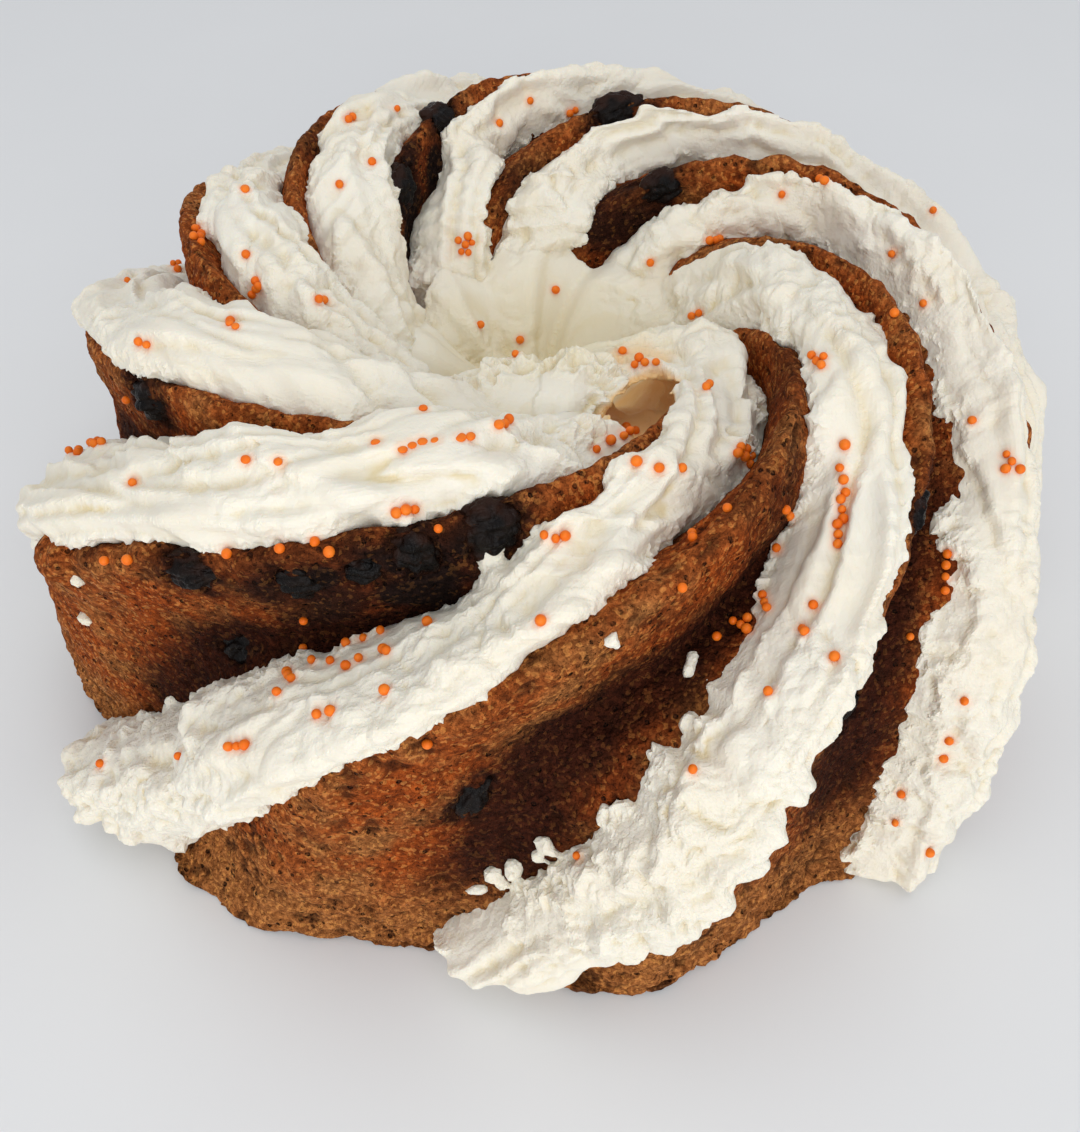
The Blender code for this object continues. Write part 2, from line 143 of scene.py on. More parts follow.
# The stretch of each ridge that the frosting covers, where the columns stand further apart.
COVERED_DENSITY = 0.3
COVER_MARGIN, COVER_LEAST = 0.1, 0.02
COVER_START, COVER_END = (0.04, 0.9), 0.96
COVER_FADE = (1.2, 0.2)
# The ragged foot: how far it turns in, its gap to the floor, and the rows over which it lifts off.
FOOT_TURN_IN = 9
FOOT_GAP, FOOT_GAP_RANGE = 1.6, (0.4, 4.5)
FOOT_LIFT_ROW, FOOT_LIFT_ROWS = 12.6, 0.4
UNDERSIDE, FLOOR_GAP = 0.05, 0.02
BAND_FINE_STEP = 0.04
BAND_FINE_ACROSS = 44
BAND_BACK = 3.5
BACK_ACROSS = np.array((0.93, 0.75, 0.5, 0.25, 0.07))
ARCH_FLATNESS, ARCH_FULLNESS = 2.6, 0.62
RAG_LENGTH, LUMP_LENGTH = 13, 17
END_LEAST = 0.35
VOXEL = 0.72
BOX_MARGIN = 0.1
SOFT_EDGE = 2.5
BOXINESS = 3.4
CAP_TORN = 0.3
CAP_RINGS, CAP_SPOKES, CAP_MIDDLE = 48, 220, 0.4
CAP_SIDE = 16
CAP_TWIST = 0.012
# How the drapes over the hole bend: the angle, how many times round and the shift.
CAP_BENDS = ((0.26, 2, 0.4), (0.16, 3, 1), (0.06, 5, 0))
DRAPES = 8
DRAPE_HEIGHT, SMALL_DRAPE_HEIGHT, DRAPE_DEPTH = 6.0, 0.5, 3.6
DRAPES_FROM = (2, 20)
HOLLOW_INWARD = (0.05, 0.85, -0.3)
HOLLOW_WALL, HOLLOW_BEHIND, HOLLOW_FRONT = (1.22, 1.06), (15, 12), (-10, -13)
SCRAP_THICKNESS, SCRAP_NARROWNESS, SCRAP_TURN = 3.4, 0.7, 37
PEBBLE_LUMPS = 1.4
# The heights between which the low wall fades in, and the radii between which the painted shade of the middle
# does.
LOW_WALL, MIDDLE_SHADE_RADII = (38, 14), (40, 8)
POCKET_RIM, POCKET_DEPTH, DISH_DEPTH, BILLOW_LEVEL = 1.1, 2.6, 1.5, 3.3
BERRY_LUMPS, BERRY_WRINKLES, WRINKLE_LEVEL = 0.16, ((7.0, 2.7, 2.7), 1.8), 0.8
SPRINKLE_RADIUS, SPRINKLE_SIZES, SPRINKLE_SQUASH = 1.02, (0.8, 1.08), (0.92, 1.05)
SPRINKLE_PROUD, LOWEST_SPRINKLE = 0.45, 2
# The least distance between sprinkles: from the first of a group, in a group and on the far side.
SPRINKLE_GAPS = (1.7, 1.75, 2.2)
SPRINKLE_TRIES = 30
# The far side's sprinkles: how many, their rows and ridges, and how far out of the cake a ray starts.
HIDDEN_SPRINKLES, FAR_ROWS, FAR_TURNS, FAR_PROBE = 40, (5.0, 12.3), (4.2, 9.6), 25.0
FAR_GROUPS, GROUP_SPREAD, FAR_FROM, LEAST_FACING = (1, 1, 1, 2, 3), 2.4, 20, 0.4
STAIN_REACH = (2.3, 1.0)

# Noises, each with its height, its size and its seed. A stroke's sizes are across, between bands and along.
FOOT_GAP_NOISE = ((2.2, 14, 3), (1.2, 5, 4))
LOOSE_PATCHES = ((0.5, 26, 10),)
# The crumb's height where it is firm, and how much more where it is loose.
CRUMB = ((0.6, 0, 11, 11), (0.35, 0.35, 3.4, 12), (0.22, 0.4, 1.9, 13))
STRATA = ((7, 7, 2.2), 14)
PIT_NOISE = ((1, 4.2, 15), (0.35, 2.1, 16))
EDGE_CRUMB = ((0.8, 5.5, 17), (0.45, 2.8, 18))
POCKET_RAG = ((0.4, 4.5, 19), (0.24, 2.0, 20))
FLAKE_RAG = ((0.3, 4, 24),)
SPOT_RAG = ((0.35, 9, 23),)
TORN_PATCHES = ((0.7, 24, 31), (0.3, 10, 30))
FINE_STROKES = ((0.35, (3.6, 30, 40), 36), (0.1, (2.2, 30, 30), 37))
TORN_STROKE = ((9, 30, 20), 49)
WAVES = ((1.1, (16, 30, 34), 38),)
WARP, WARP_SIZE, WARP_SEEDS = 3.0, 12, (46, 47, 48)
BILLOWS = ((3.4, 15, 32), (3.4, 7.5, 33), (1.6, 3.8, 34))
BIG_CRAGS, EDGE_CRAGS = ((0.6, 9, 50),), ((1.0, 3.8, 39), (0.7, 2.3, 40))
RIM_CRAGS, SMALL_CRAGS = ((2.2, 5.2, 57),), ((0.6, 2.1, 51),)
# The height and length of the teeth along a torn edge.
EDGE_TEETH = ((1.5, 5.5), (1.3, 2.4), (0.7, 1.3))
STROKE_HEIGHT = 3.2
FOLDS, FOLD_WIDTH, FOLD_LENGTH, FOLD_SEED = 1.9, 13, 70, 35
FOLD_RISE, FOLD_FALL = (0, 0.72), (0.74, 1.0)
BAND_GAP = 40

# How torn each band of frosting is, at the rows of EDGE_ROWS: 0 is a smooth smear and 1 all crags.
TORN = {
    1: (0.5, 0.6, 0.5, 0.5, 0.7, 0.9, 1.0),
    2: (0.5, 0.7, 0.6, 0.05, 0.9, 1.0, 0.5),
    3: (0.5, 0.7, 0.7, 0.5, 0.6, 0.7, 0.7),
    4: (0.5, 0.6, 0.6, 0.6, 0.6, 0.6, 0.7),
    5: (0.6, 0.6, 0.6, 0.5, 0.5, 0.6, 0.7),
    6: (0.6, 0.6, 0.4, 0.5, 0.6, 0.6, 0.7),
    7: (0.6, 0.6, 0.5, 0.6, 0.7, 0.7, 0.7),
    8: (0.5, 0.4, 0.3, 0.4, 0.7, 0.8, 0.8),
    9: (0.4, 0.5, 0.5, 0.3, 0.25, 0.4, 0.6),
}

# Sprinkles that the photograph shows: the pixel, and for a group how many and how far apart in pixels (x, y).
SPRINKLE_SPOTS = (
    (745, 455, 6, 9, 8), (845, 445, 3, 2, 8), (843, 480, 5, 3, 14), (841, 510, 4, 3, 12),
    (837, 535, 4, 4, 10), (405, 511, 5, 9, 5), (281, 549), (315, 540), (329, 551), (228, 555), (106, 560),
    (129, 559), (438, 528), (304, 619), (304, 649), (313, 661), (331, 662, 2, 3, 2), (347, 643, 2, 4, 2),
    (364, 638, 2, 4, 2), (359, 659), (347, 666), (382, 631), (385, 650, 2, 5, 2), (290, 676, 3, 5, 4),
    (278, 693), (386, 691), (317, 715), (332, 711), (541, 621), (428, 623), (238, 746, 4, 9, 1), (180, 756),
    (102, 763), (427, 743), (466, 245, 7, 7, 9), (200, 235, 6, 7, 9), (176, 263, 4, 3, 8),
    (96, 441, 5, 6, 4), (70, 452, 3, 14, 3), (257, 288, 4, 5, 8), (231, 323, 4, 6, 3), (247, 460),
    (278, 461), (133, 484), (128, 399), (376, 443, 2, 8, 1), (412, 444, 3, 12, 4), (436, 440), (460, 436),
    (470, 436), (503, 425, 3, 6, 4), (423, 408), (818, 362, 5, 8, 7), (1012, 462, 5, 7, 8),
    (945, 565, 6, 4, 12), (944, 590, 2, 2, 4), (766, 603, 5, 4, 8), (742, 625, 6, 8, 7),
    (718, 637, 3, 6, 4), (813, 605, 4, 4, 7), (803, 630, 3, 5, 3), (835, 657), (769, 693), (692, 770),
    (578, 855), (681, 587), (694, 539, 2, 2, 5), (728, 510), (788, 515, 3, 4, 7), (776, 548, 2, 4, 4),
    (707, 388, 2, 2, 4), (636, 462, 2, 3, 5), (659, 468), (681, 469), (610, 440, 2, 4, 3),
    (629, 432, 4, 7, 5), (595, 450), (555, 538, 4, 14, 5), (645, 363, 5, 12, 5), (622, 352),
    (892, 253, 2, 5, 3), (924, 304), (895, 314), (910, 637), (963, 700), (943, 757), (948, 740), (902, 794),
    (896, 822), (928, 852), (972, 421), (520, 340, 2, 4, 4), (517, 355), (479, 325), (555, 290),
    (716, 242, 3, 8, 2), (700, 312, 2, 8, 4), (650, 262), (372, 163, 2, 3, 3), (340, 185),
    (352, 118, 2, 4, 3), (575, 110, 2, 6, 4), (530, 101), (245, 190), (148, 345, 2, 8, 4), (127, 282),
    (318, 300, 2, 6, 5), (245, 255), (820, 178, 2, 7, 3), (782, 195),
)

# Where the sponge is darkened: soaked crumb round the berries, and painted shade in deep valleys and under
# the frosting's edges. The pixel, the radius in mm and how dark.
DARK_SOAK_AND_SHADE_SPOTS = (
    (330, 600, 30, 0.9), (430, 585, 28, 1.0), (240, 650, 20, 0.5), (180, 690, 16, 0.6), (510, 560, 16, 0.8),
    (560, 800, 26, 0.6), (620, 740, 24, 0.6), (690, 640, 18, 0.7), (400, 190, 22, 1.0), (410, 240, 16, 1.0),
    (520, 190, 18, 0.8), (620, 215, 24, 0.9), (330, 165, 16, 0.7), (890, 660, 26, 0.5), (920, 520, 24, 0.8),
    (790, 370, 18, 0.6), (785, 500, 18, 0.7), (470, 540, 13, 1.0), (400, 565, 10, 1.0), (330, 578, 9, 1.0),
    (195, 570, 8, 0.9), (110, 535, 9, 1.0), (500, 545, 9, 1.0), (405, 130, 12, 1.0), (435, 170, 12, 1.0),
    (590, 230, 12, 0.9), (240, 180, 12, 0.7),
)

# Where the frosting gets yellowish painted shade in its creases, where it has a ragged rim, and where it has
# shallow dishes with painted shade: the pixel and the radius in mm.
CREASE_SHADE_SPOTS = (
    (443, 287, 4), (504, 279, 3), (510, 300, 3), (507, 318, 3), (528, 345, 5), (619, 285, 2), (706, 305, 2),
    (668, 501, 3), (663, 508, 2), (596, 409, 3), (564, 429, 2), (460, 472, 3), (382, 478, 3), (332, 493, 2),
    (220, 508, 3), (205, 510, 2), (90, 505, 3), (95, 737, 2), (140, 790, 3), (388, 742, 2), (630, 300, 3),
    (480, 240, 2), (700, 745, 3), (660, 800, 3),
)
RAGGED_RIM = (
    (470, 380, 5), (492, 371, 5), (518, 362, 5), (545, 360, 5), (572, 362, 5), (598, 368, 5), (612, 385, 4),
    (600, 410, 4), (590, 430, 4), (740, 345, 4), (752, 375, 4), (752, 410, 4), (742, 445, 4),
)
DISHES = ((628, 353, 4), (642, 351, 4), (655, 353, 3))

# Where a flake of the crust stands out: the pixel, the radius and how far, in mm.
FLAKES = ((58, 552, 7, 3.2), (46, 560, 5, 2.0), (150, 545, 5, 1.5))

# Scraps of frosting on the bare sponge: the pixel and the width in mm.
SCRAPS = (
    (488, 548, 7), (494, 566, 6), (514, 525, 4), (78, 580, 4), (86, 618, 5), (172, 701, 4), (196, 699, 5),
    (205, 692, 3), (243, 688, 5), (236, 694, 3), (689, 671, 4), (693, 660, 3), (545, 845, 6), (538, 856, 4),
    (478, 888, 5), (492, 874, 4), (515, 868, 4), (503, 882, 3), (455, 700, 3), (612, 640, 3),
)


def catmull(values, s):
    """A smooth curve through values, where s runs from 0 to 1 over the whole list."""
    v = np.asarray(values, float)
    x = np.clip(np.asarray(s, float), 0, 1) * (len(v) - 1)
    i = np.minimum(x.astype(int), len(v) - 2)
    t = x - i
    a = v[np.maximum(i - 1, 0)]
    b = v[i]
    c = v[i + 1]
    d = v[np.minimum(i + 2, len(v) - 1)]
    return 0.5 * (2 * b + (c - a) * t + (2 * a - 5 * b + 4 * c - d) * t**2 + (3 * b - a - 3 * c + d) * t**3)


def meridian(s):
    """Radius, height, groove depth, winding and the outward normal at s along the meridian."""
    radii, heights, depths, winds = zip(*MERIDIAN)
    step = 0.004
    dr = catmull(radii, s + step) - catmull(radii, s - step)
    dz = catmull(heights, s + step) - catmull(heights, s - step)
    size = np.hypot(dr, dz)
    wind = np.radians(catmull(winds, s))
    return catmull(radii, s), catmull(heights, s), catmull(depths, s), wind, -dz / size, dr / size


def crest_wave(turn):
    """1 on a crest, where turn is a whole number, and 0 in the groove between two."""
    u = np.mod(turn, 1.0)
    u = np.where(u < GROOVE_AT, 0.5 * u / GROOVE_AT, 1 - 0.5 * (1 - u) / (1 - GROOVE_AT))
    k = CREST_SHARPNESS
    return 0.5 + np.arcsin(k * np.cos(2 * np.pi * u)) / (2 * math.asin(k))


def place(s, turn, lift):
    """The point at s along the meridian and turn ridges round, lift outside the surface over the crests."""
    r, z, _, wind, out, up = meridian(s)
    angle = FIRST_RIDGE + PERIOD * turn + wind
    radius = r + lift * out
    return np.stack([radius * np.cos(angle), radius * np.sin(angle), z + lift * up], -1)


def swelling(s, turn, places):
    """How far the places of a table of swellings lift the surface at s and turn."""
    lift = 0.0
    for row, middle, height, rows, ridges in places:
        away = np.mod(turn - middle + RIDGES / 2, RIDGES) - RIDGES / 2
        lift = lift + height * np.exp(-(((s * LAST_ROW - row) / rows) ** 2) - (away / ridges) ** 2)
    return lift


def groove_lift(s, turn):
    """How far the ridged surface lies outside the surface over the crests."""
    return swelling(s, turn, SPONGE_SWELLINGS) - meridian(s)[2] * (1 - crest_wave(turn))


def sponge(s, turn, lift=0.0):
    """A point of the ridged surface, or lift outside it."""
    return place(s, turn, groove_lift(s, turn) + lift)


# ---- Noise ----
LUMP_SHIFT = (7.3, 3.1, 5.7)
GRAIN_SHIFT = np.array((17.31, 5.17, 9.73))
GRAIN_GAIN, CRAG_SHARPNESS = 1.6, 1.6
NOISE_RNG = np.random.default_rng(7)
SHUFFLE = NOISE_RNG.permutation(256)
SLOPES = NOISE_RNG.normal(size=(256, 3))
SLOPES /= np.linalg.norm(SLOPES, axis=1, keepdims=True)


def wobble(points, size, seed):
    """Smooth noise between -1 and 1 at each of the points, with lumps of about the size given."""
    shift = Vector(n * seed for n in LUMP_SHIFT)
    flat = np.reshape(points, (-1, 3))
    return np.array([noise.noise(Vector(p) / size + shift) for p in flat]).reshape(np.shape(points)[:-1])


def grain(points, size, seed=0):
    """Smooth noise between about -1 and 1. size is a length, or one length for each axis."""
    p = np.asarray(points, float) / size + seed * GRAIN_SHIFT
    cell = np.floor(p).astype(int)
    inside = p - cell
    ease = inside**3 * (inside * (inside * 6 - 15) + 10)
    total = np.zeros(len(p))
    for corner in itertools.product((0, 1), repeat=3):
        x, y, z = (cell + corner).T
        slope = SLOPES[SHUFFLE[(SHUFFLE[(SHUFFLE[x & 255] + y) & 255] + z) & 255]]
        share = np.where(np.array(corner), ease, 1 - ease).prod(1)
        total += share * (slope * (inside - corner)).sum(1)
    return GRAIN_GAIN * total


def billows(points, size, seed):
    """Round swellings with creases between, from 0 up."""
    return np.abs(grain(points, size, seed))


def crags(points, size, seed):
    """Sharp little crests with round dips between, from 0 to 1."""
    return np.clip(1 - CRAG_SHARPNESS * billows(points, size, seed), 0, 1) ** 2


def layers(points, table, start=0, kind=grain):
    """The sum of start and a table of noises of one kind."""
    return sum((height * kind(points, size, seed) for height, size, seed in table), start)


def ramp(low, high, value):
    """0 below low, 1 above high and smooth between."""
    t = np.clip((value - low) / (high - low), 0, 1)
    return t * t * (3 - 2 * t)


def edge_at(edge, row):
    """The edge of a band at a row of the meridian."""
    return catmull(edge, (row - EDGE_ROWS[0]) / (EDGE_ROWS[-1] - EDGE_ROWS[0]))


def unit(vectors):
    return vectors / np.maximum(np.linalg.norm(vectors, axis=-1, keepdims=True), 1e-9)


def distance(points, centre=0.0):
    """How far each point is from the centre."""
    return np.linalg.norm(points - centre, axis=1)


def seen_from(points, centre, axes, sizes=(2, 2, 2)):
    """The points from a centre along the columns of axes, in halves of the sizes."""
    return (points - np.array(centre)) @ np.array(axes) / (np.array(sizes) / 2)


# ---- Meshes. Points are in millimetres, before the footprint shift ----
def to_scene(points):
    """Points in millimetres as the scene has them, in metres."""
    return (np.asarray(points) + FOOTPRINT_SHIFT) * MM


def to_mm(points):
    """Points of the scene in millimetres."""
    return np.asarray(points) / MM - FOOTPRINT_SHIFT


def add_object(name, data):
    """A new object in the scene."""
    made = bpy.data.objects.new(name, data)
    bpy.context.scene.collection.objects.link(made)
    return made


def mesh_object(name, points, faces):
    """A smooth-shaded mesh object."""
    mesh = bpy.data.meshes.new(name)
    mesh.from_pydata([tuple(p) for p in to_scene(points)], [], faces)
    mesh.update()
    mesh.shade_smooth()
    return add_object(name, mesh)


def read_vectors(values, name):
    """One named vector of each of a mesh's values."""
    flat = np.empty(len(values) * 3, np.float32)
    values.foreach_get(name, flat)
    return flat.reshape(-1, 3).astype(float)


def read_points(item):
    """The object's points."""
    return to_mm(read_vectors(item.data.vertices, "co"))


def read_normals(item):
    """The object's point normals."""
    return read_vectors(item.data.vertex_normals, "vector")


def write_points(item, points):
    """Moves the object's points."""
    item.data.vertices.foreach_set("co", to_scene(points).astype(np.float32).ravel())
    item.data.update()


def kept_in_box(points):
    """Points near a side of the solid model's box, or past it, eased back inside it."""
    low, high = (to_mm(corner) for corner in cad_box)
    low[:2] += BOX_MARGIN + SOFT_EDGE
    high -= BOX_MARGIN + SOFT_EDGE
    past = points - np.clip(points, low, high)
    eased = points - past + SOFT_EDGE * np.tanh(past / SOFT_EDGE)
    eased[:, 2] = np.maximum(eased[:, 2], FLOOR_GAP)
    return eased


def store(item, **facts):
    """Keeps numbers or vectors for each point, for the material to read."""
    for name, values in facts.items():
        kind, key = ("FLOAT", "value") if np.ndim(values) == 1 else ("FLOAT_VECTOR", "vector")
        kept = item.data.attributes.new(name, kind, "POINT")
        kept.data.foreach_set(key, np.asarray(values, np.float32).ravel())


def faces_of(items):
    """The faces of several objects, numbered as if they were one."""
    starts = itertools.accumulate([0] + [len(item.data.vertices) for item in items])
    faces = [(start, face.vertices) for start, item in zip(starts, items) for face in item.data.polygons]
    return [tuple(start + n for n in corners) for start, corners in faces]


def tree_of(*items):
    """A search tree over the faces of the objects, in metres."""
    points = [vertex.co.copy() for item in items for vertex in item.data.vertices]
    return BVHTree.FromPolygons(points, faces_of(items))


def grid_faces(rows, columns, closed=True):
    """The four-sided faces of a grid of points."""
    i, j = np.meshgrid(np.arange(rows - 1), np.arange(columns if closed else columns - 1), indexing="ij")
    k = (j + 1) % columns
    here, beyond = i * columns, (i + 1) * columns
    return np.stack([here + j, here + k, beyond + k, beyond + j], -1).reshape(-1, 4)


def tube(name, rings):
    """A closed object from rings of points, with both ends filled."""
    count, size = rings.shape[:2]
    faces = [tuple(f) for f in grid_faces(count, size)]
    faces += [tuple(range(size)), tuple(range((count - 1) * size, count * size))]
    return mesh_object(name, rings.reshape(-1, 3), faces)


def fix_normals(item):
    """Turns every face outward."""
    work = bmesh.new()
    work.from_mesh(item.data)
    bmesh.ops.recalc_face_normals(work, faces=work.faces)
    work.to_mesh(item.data)
    work.free()
    item.data.shade_smooth()


def ball(subdivisions):
    """The points and faces of a round ball of radius 1."""
    work = bmesh.new()
    bmesh.ops.create_icosphere(work, subdivisions=subdivisions, radius=1)
    work.verts.index_update()
    points = [vertex.co.copy() for vertex in work.verts]
    faces = [tuple(vertex.index for vertex in face.verts) for face in work.faces]
    work.free()
    return points, faces


def pebble(name, centre, axes, sizes, subdivisions, lumps, seed):
    """A lumpy ellipsoid of the three full sizes along the columns of axes."""
    corners, faces = ball(subdivisions)
    points = []
    for corner in corners:
        swell = 1 + lumps * noise.noise(corner * PEBBLE_LUMPS + Vector((seed, 2 * seed, 3 * seed)))
        local = Vector(c * size / 2 * swell for c, size in zip(corner, sizes))
        points.append(Vector(centre) + axes @ local)
    return mesh_object(name, points, faces)


def join(name, items):
    """One object from several."""
    points, faces = np.concatenate([read_points(item) for item in items]), faces_of(items)
    for item in items:
        bpy.data.objects.remove(item)
    return mesh_object(name, points, faces)


def apply_modifiers(item):
    """Replaces the object's mesh by what its modifiers make of it."""
    bpy.context.view_layer.update()
    graph = bpy.context.evaluated_depsgraph_get()
    mesh = bpy.data.meshes.new_from_object(item.evaluated_get(graph))
    item.modifiers.clear()
    item.data = mesh


def camera_axes():
    """The camera's place in millimetres and its right, up and forward directions."""
    forward = np.array((0, math.cos(CAMERA_ELEVATION), -math.sin(CAMERA_ELEVATION)))
    level = np.array((1.0, 0, 0))
    upright = np.cross(level, forward)
    right = math.cos(CAMERA_ROLL) * level + math.sin(CAMERA_ROLL) * upright
    up = -math.sin(CAMERA_ROLL) * level + math.cos(CAMERA_ROLL) * upright
    return CAMERA_TARGET - forward * CAMERA_DISTANCE, right, up, forward


def hit(tree, start, direction):
    """The surface point and normal that a ray meets, if it meets one."""
    spot, normal, _, _ = tree.ray_cast(Vector(to_scene(start)), Vector(unit(direction)))
    return None if spot is None else (to_mm(spot), np.array(normal))


def seen_at(tree, x, y):
    """The surface point and normal behind a pixel of the photograph."""
    origin, right, up, forward = camera_axes()
    ray = forward + right * (x - PHOTO_WIDTH / 2) / FOCAL_PIXELS - up * (y - PHOTO_HEIGHT / 2) / FOCAL_PIXELS
    return hit(tree, origin, ray)


def spots_on(item, spots):
    """The places on the object behind pixels of the photograph, each with its own numbers."""
    tree = tree_of(item)
    found = [(seen_at(tree, x, y), *facts) for x, y, *facts in spots]
    return [(seen[0], *facts) for seen, *facts in found if seen is not None]


# ---- The sponge ----
def turns_at(row):
    """Where the columns of the sponge stand at a row: further apart under the frosting."""
    made = []
    for ridge, inner, outer, last_row in BANDS:
        low = float(np.clip(edge_at(inner, row) + COVER_MARGIN, *COVER_START))
        high = float(np.clip(edge_at(outer, row) - COVER_MARGIN, low + COVER_LEAST, COVER_END))
        bare = float(ramp(last_row - COVER_FADE[0], last_row - COVER_FADE[1], row))
        density = 1.0 if row < EDGE_ROWS[0] else COVERED_DENSITY + (1 - COVERED_DENSITY) * bare
        shares = np.cumsum((0, low, (high - low) * density, 1 - high))
        columns = np.arange(SPONGE_COLUMNS) / SPONGE_COLUMNS
        made.append(ridge + np.interp(columns, shares / shares[-1], (0, low, high, 1)))
    return np.concatenate(made)


def make_sponge():
    """The ridged ring, with its crumb, pits and ragged foot."""
    rows = [HIDDEN_ROWS, np.arange(*INNER_ROWS), np.arange(*OUTER_ROWS), (LAST_ROW,)]
    rows = np.concatenate(rows)
    turns = np.array([turns_at(row) for row in rows])
    count = turns.shape[1]
    s = np.repeat(rows[:, None] / LAST_ROW, count, 1)
    smooth = sponge(s, turns)
    fine = np.zeros(s.shape)
    visible = rows > HIDDEN_ROWS[-1]
    fine[visible] = CAKE_LUMPS * wobble(smooth[visible], 22, 1)
    foot = np.clip(1 - smooth[..., 2] / FOOT_HEIGHT, 0, 1) * (rows > LAST_ROW / 2)[:, None]
    low = foot > 0
    fine[low] += (foot * FOOT_LIP)[low] * (0.5 + 0.9 * wobble(smooth[low], 9, 2))
    points = sponge(s, turns, fine)
    # The underside: the foot turns in and rests on the floor, then a flat ring runs back to the hole.
    under = points[-1].copy()
    under[:, :2] *= 1 - FOOT_TURN_IN / np.linalg.norm(under[:, :2], axis=1, keepdims=True)
    under[:, 2] = UNDERSIDE
    points[-1, :, 2] = np.clip(layers(points[-1], FOOT_GAP_NOISE, FOOT_GAP), *FOOT_GAP_RANGE)
    lift = np.clip((s[:, :1] * LAST_ROW - FOOT_LIFT_ROW) / FOOT_LIFT_ROWS, 0, 1)
    points[:, :, 2] = np.maximum(points[:, :, 2], lift * points[-1, :, 2] + FLOOR_GAP)
    faces = [tuple(f) for f in grid_faces(len(rows) + 1, count)]
    wound = round((MERIDIAN[0][3] - MERIDIAN[-1][3]) / 360 * count)
    last = len(rows) * count
    for j in range(count):
        k = (j + 1) % count
        faces.append((last + (j + wound) % count, last + (k + wound) % count, k, j))
    made = mesh_object("sponge", np.concatenate([points.reshape(-1, 3), under]), faces)
    fix_normals(made)
    s, turns = np.concatenate([s.ravel(), np.ones(count)]), np.concatenate([turns.ravel(), turns[-1]])
    shape_sponge(made, s, turns)
    return made


def berry_spaces():
    """The centre, axes and sizes of each berry."""
    spaces = []
    for row, turn, *sizes in BERRIES:
        s = row / LAST_ROW
        here = Vector(sponge(s, turn))
        along = (Vector(sponge(s + 0.01, turn)) - Vector(sponge(s - 0.01, turn))).normalized()
        across = (Vector(sponge(s, turn + 0.04)) - Vector(sponge(s, turn - 0.04))).normalized()
        out = across.cross(along).normalized()
        if out.dot(Vector(place(s, turn, 1)) - Vector(place(s, turn, 0))) < 0:
            out = -out
        axes = Matrix((along, out.cross(along), out)).transposed()
        spaces.append((here + out * (BERRY_PROUD - sizes[2] / 2), axes, sizes))
    return spaces


def shape_sponge(item, s, turn):
    """Adds the crumb to the smooth sponge, and keeps what the material needs at each point."""
    points, normals = read_points(item), read_normals(item)
    row, wave = s * LAST_ROW, crest_wave(turn)
    low_wall = ramp(*LOW_WALL, points[:, 2]) * (row > 8)
    edge = ramp(0.8, 0.97, wave)
    loose = np.clip(layers(points, LOOSE_PATCHES, 0.25 + low_wall), 0, 1)
    pits = ramp(0.46, 0.88, layers(points, PIT_NOISE))
    relief = sum((firm + more * loose) * grain(points, size, seed) for firm, more, size, seed in CRUMB)
    relief += low_wall * 0.9 * grain(points, *STRATA) - (0.6 + 0.8 * loose) * pits
    relief += edge * layers(points, EDGE_CRUMB)
    pocket, soaked = np.zeros(len(points)), np.zeros(len(points))
    ragged = layers(points, POCKET_RAG)
    for space in berry_spaces():
        away = distance(seen_from(points, *space))
        pocket = np.maximum(pocket, ramp(1.14, 0.88, away + ragged))
        soaked = np.maximum(soaked, 0.9 * ramp(2.3, 1.0, away + 1.2 * ragged))
    ragged = layers(points, FLAKE_RAG)
    for centre, radius, out in spots_on(item, FLAKES):
        relief += out * ramp(1.0, 0.5, distance(points, centre) / radius + ragged)
    rim = ramp(0.25, 0.9, pocket) * ramp(1.0, 0.9, pocket)
    relief += POCKET_RIM * rim - POCKET_DEPTH * pocket
    relief *= row > 4
    write_points(item, kept_in_box(points + normals * relief[:, None]))
    # Dark spots: a soaked stain by the berries, and painted shade in the deep valleys and under the
    # frosting's edges.
    ragged = layers(points, SPOT_RAG)
    for centre, radius, strength in spots_on(item, DARK_SOAK_AND_SHADE_SPOTS):
        away = distance(points, centre) / radius + ragged
        soaked = np.maximum(soaked, strength * ramp(1.1, 0.2, away))
    # Painted shade in the crumb's dips.
    hollow = np.clip(0.5 - 0.7 * relief, 0, 1)
    # The valleys' mask carries their painted shade to the material.
    store(item, hollow=hollow, valley=1 - wave, low=low_wall, edge=edge, soaked=soaked)


# ---- The frosting ----
def teeth(middle, seed):
    """How far the torn edge of a band stands out at a place along it."""
    spot = np.reshape(middle, (1, 3))
    uneven = 0.5 + 1.6 * billows(spot, 11, seed + 1)[0]
    return uneven * layers(spot, [(height, length, seed) for height, length in EDGE_TEETH])[0]


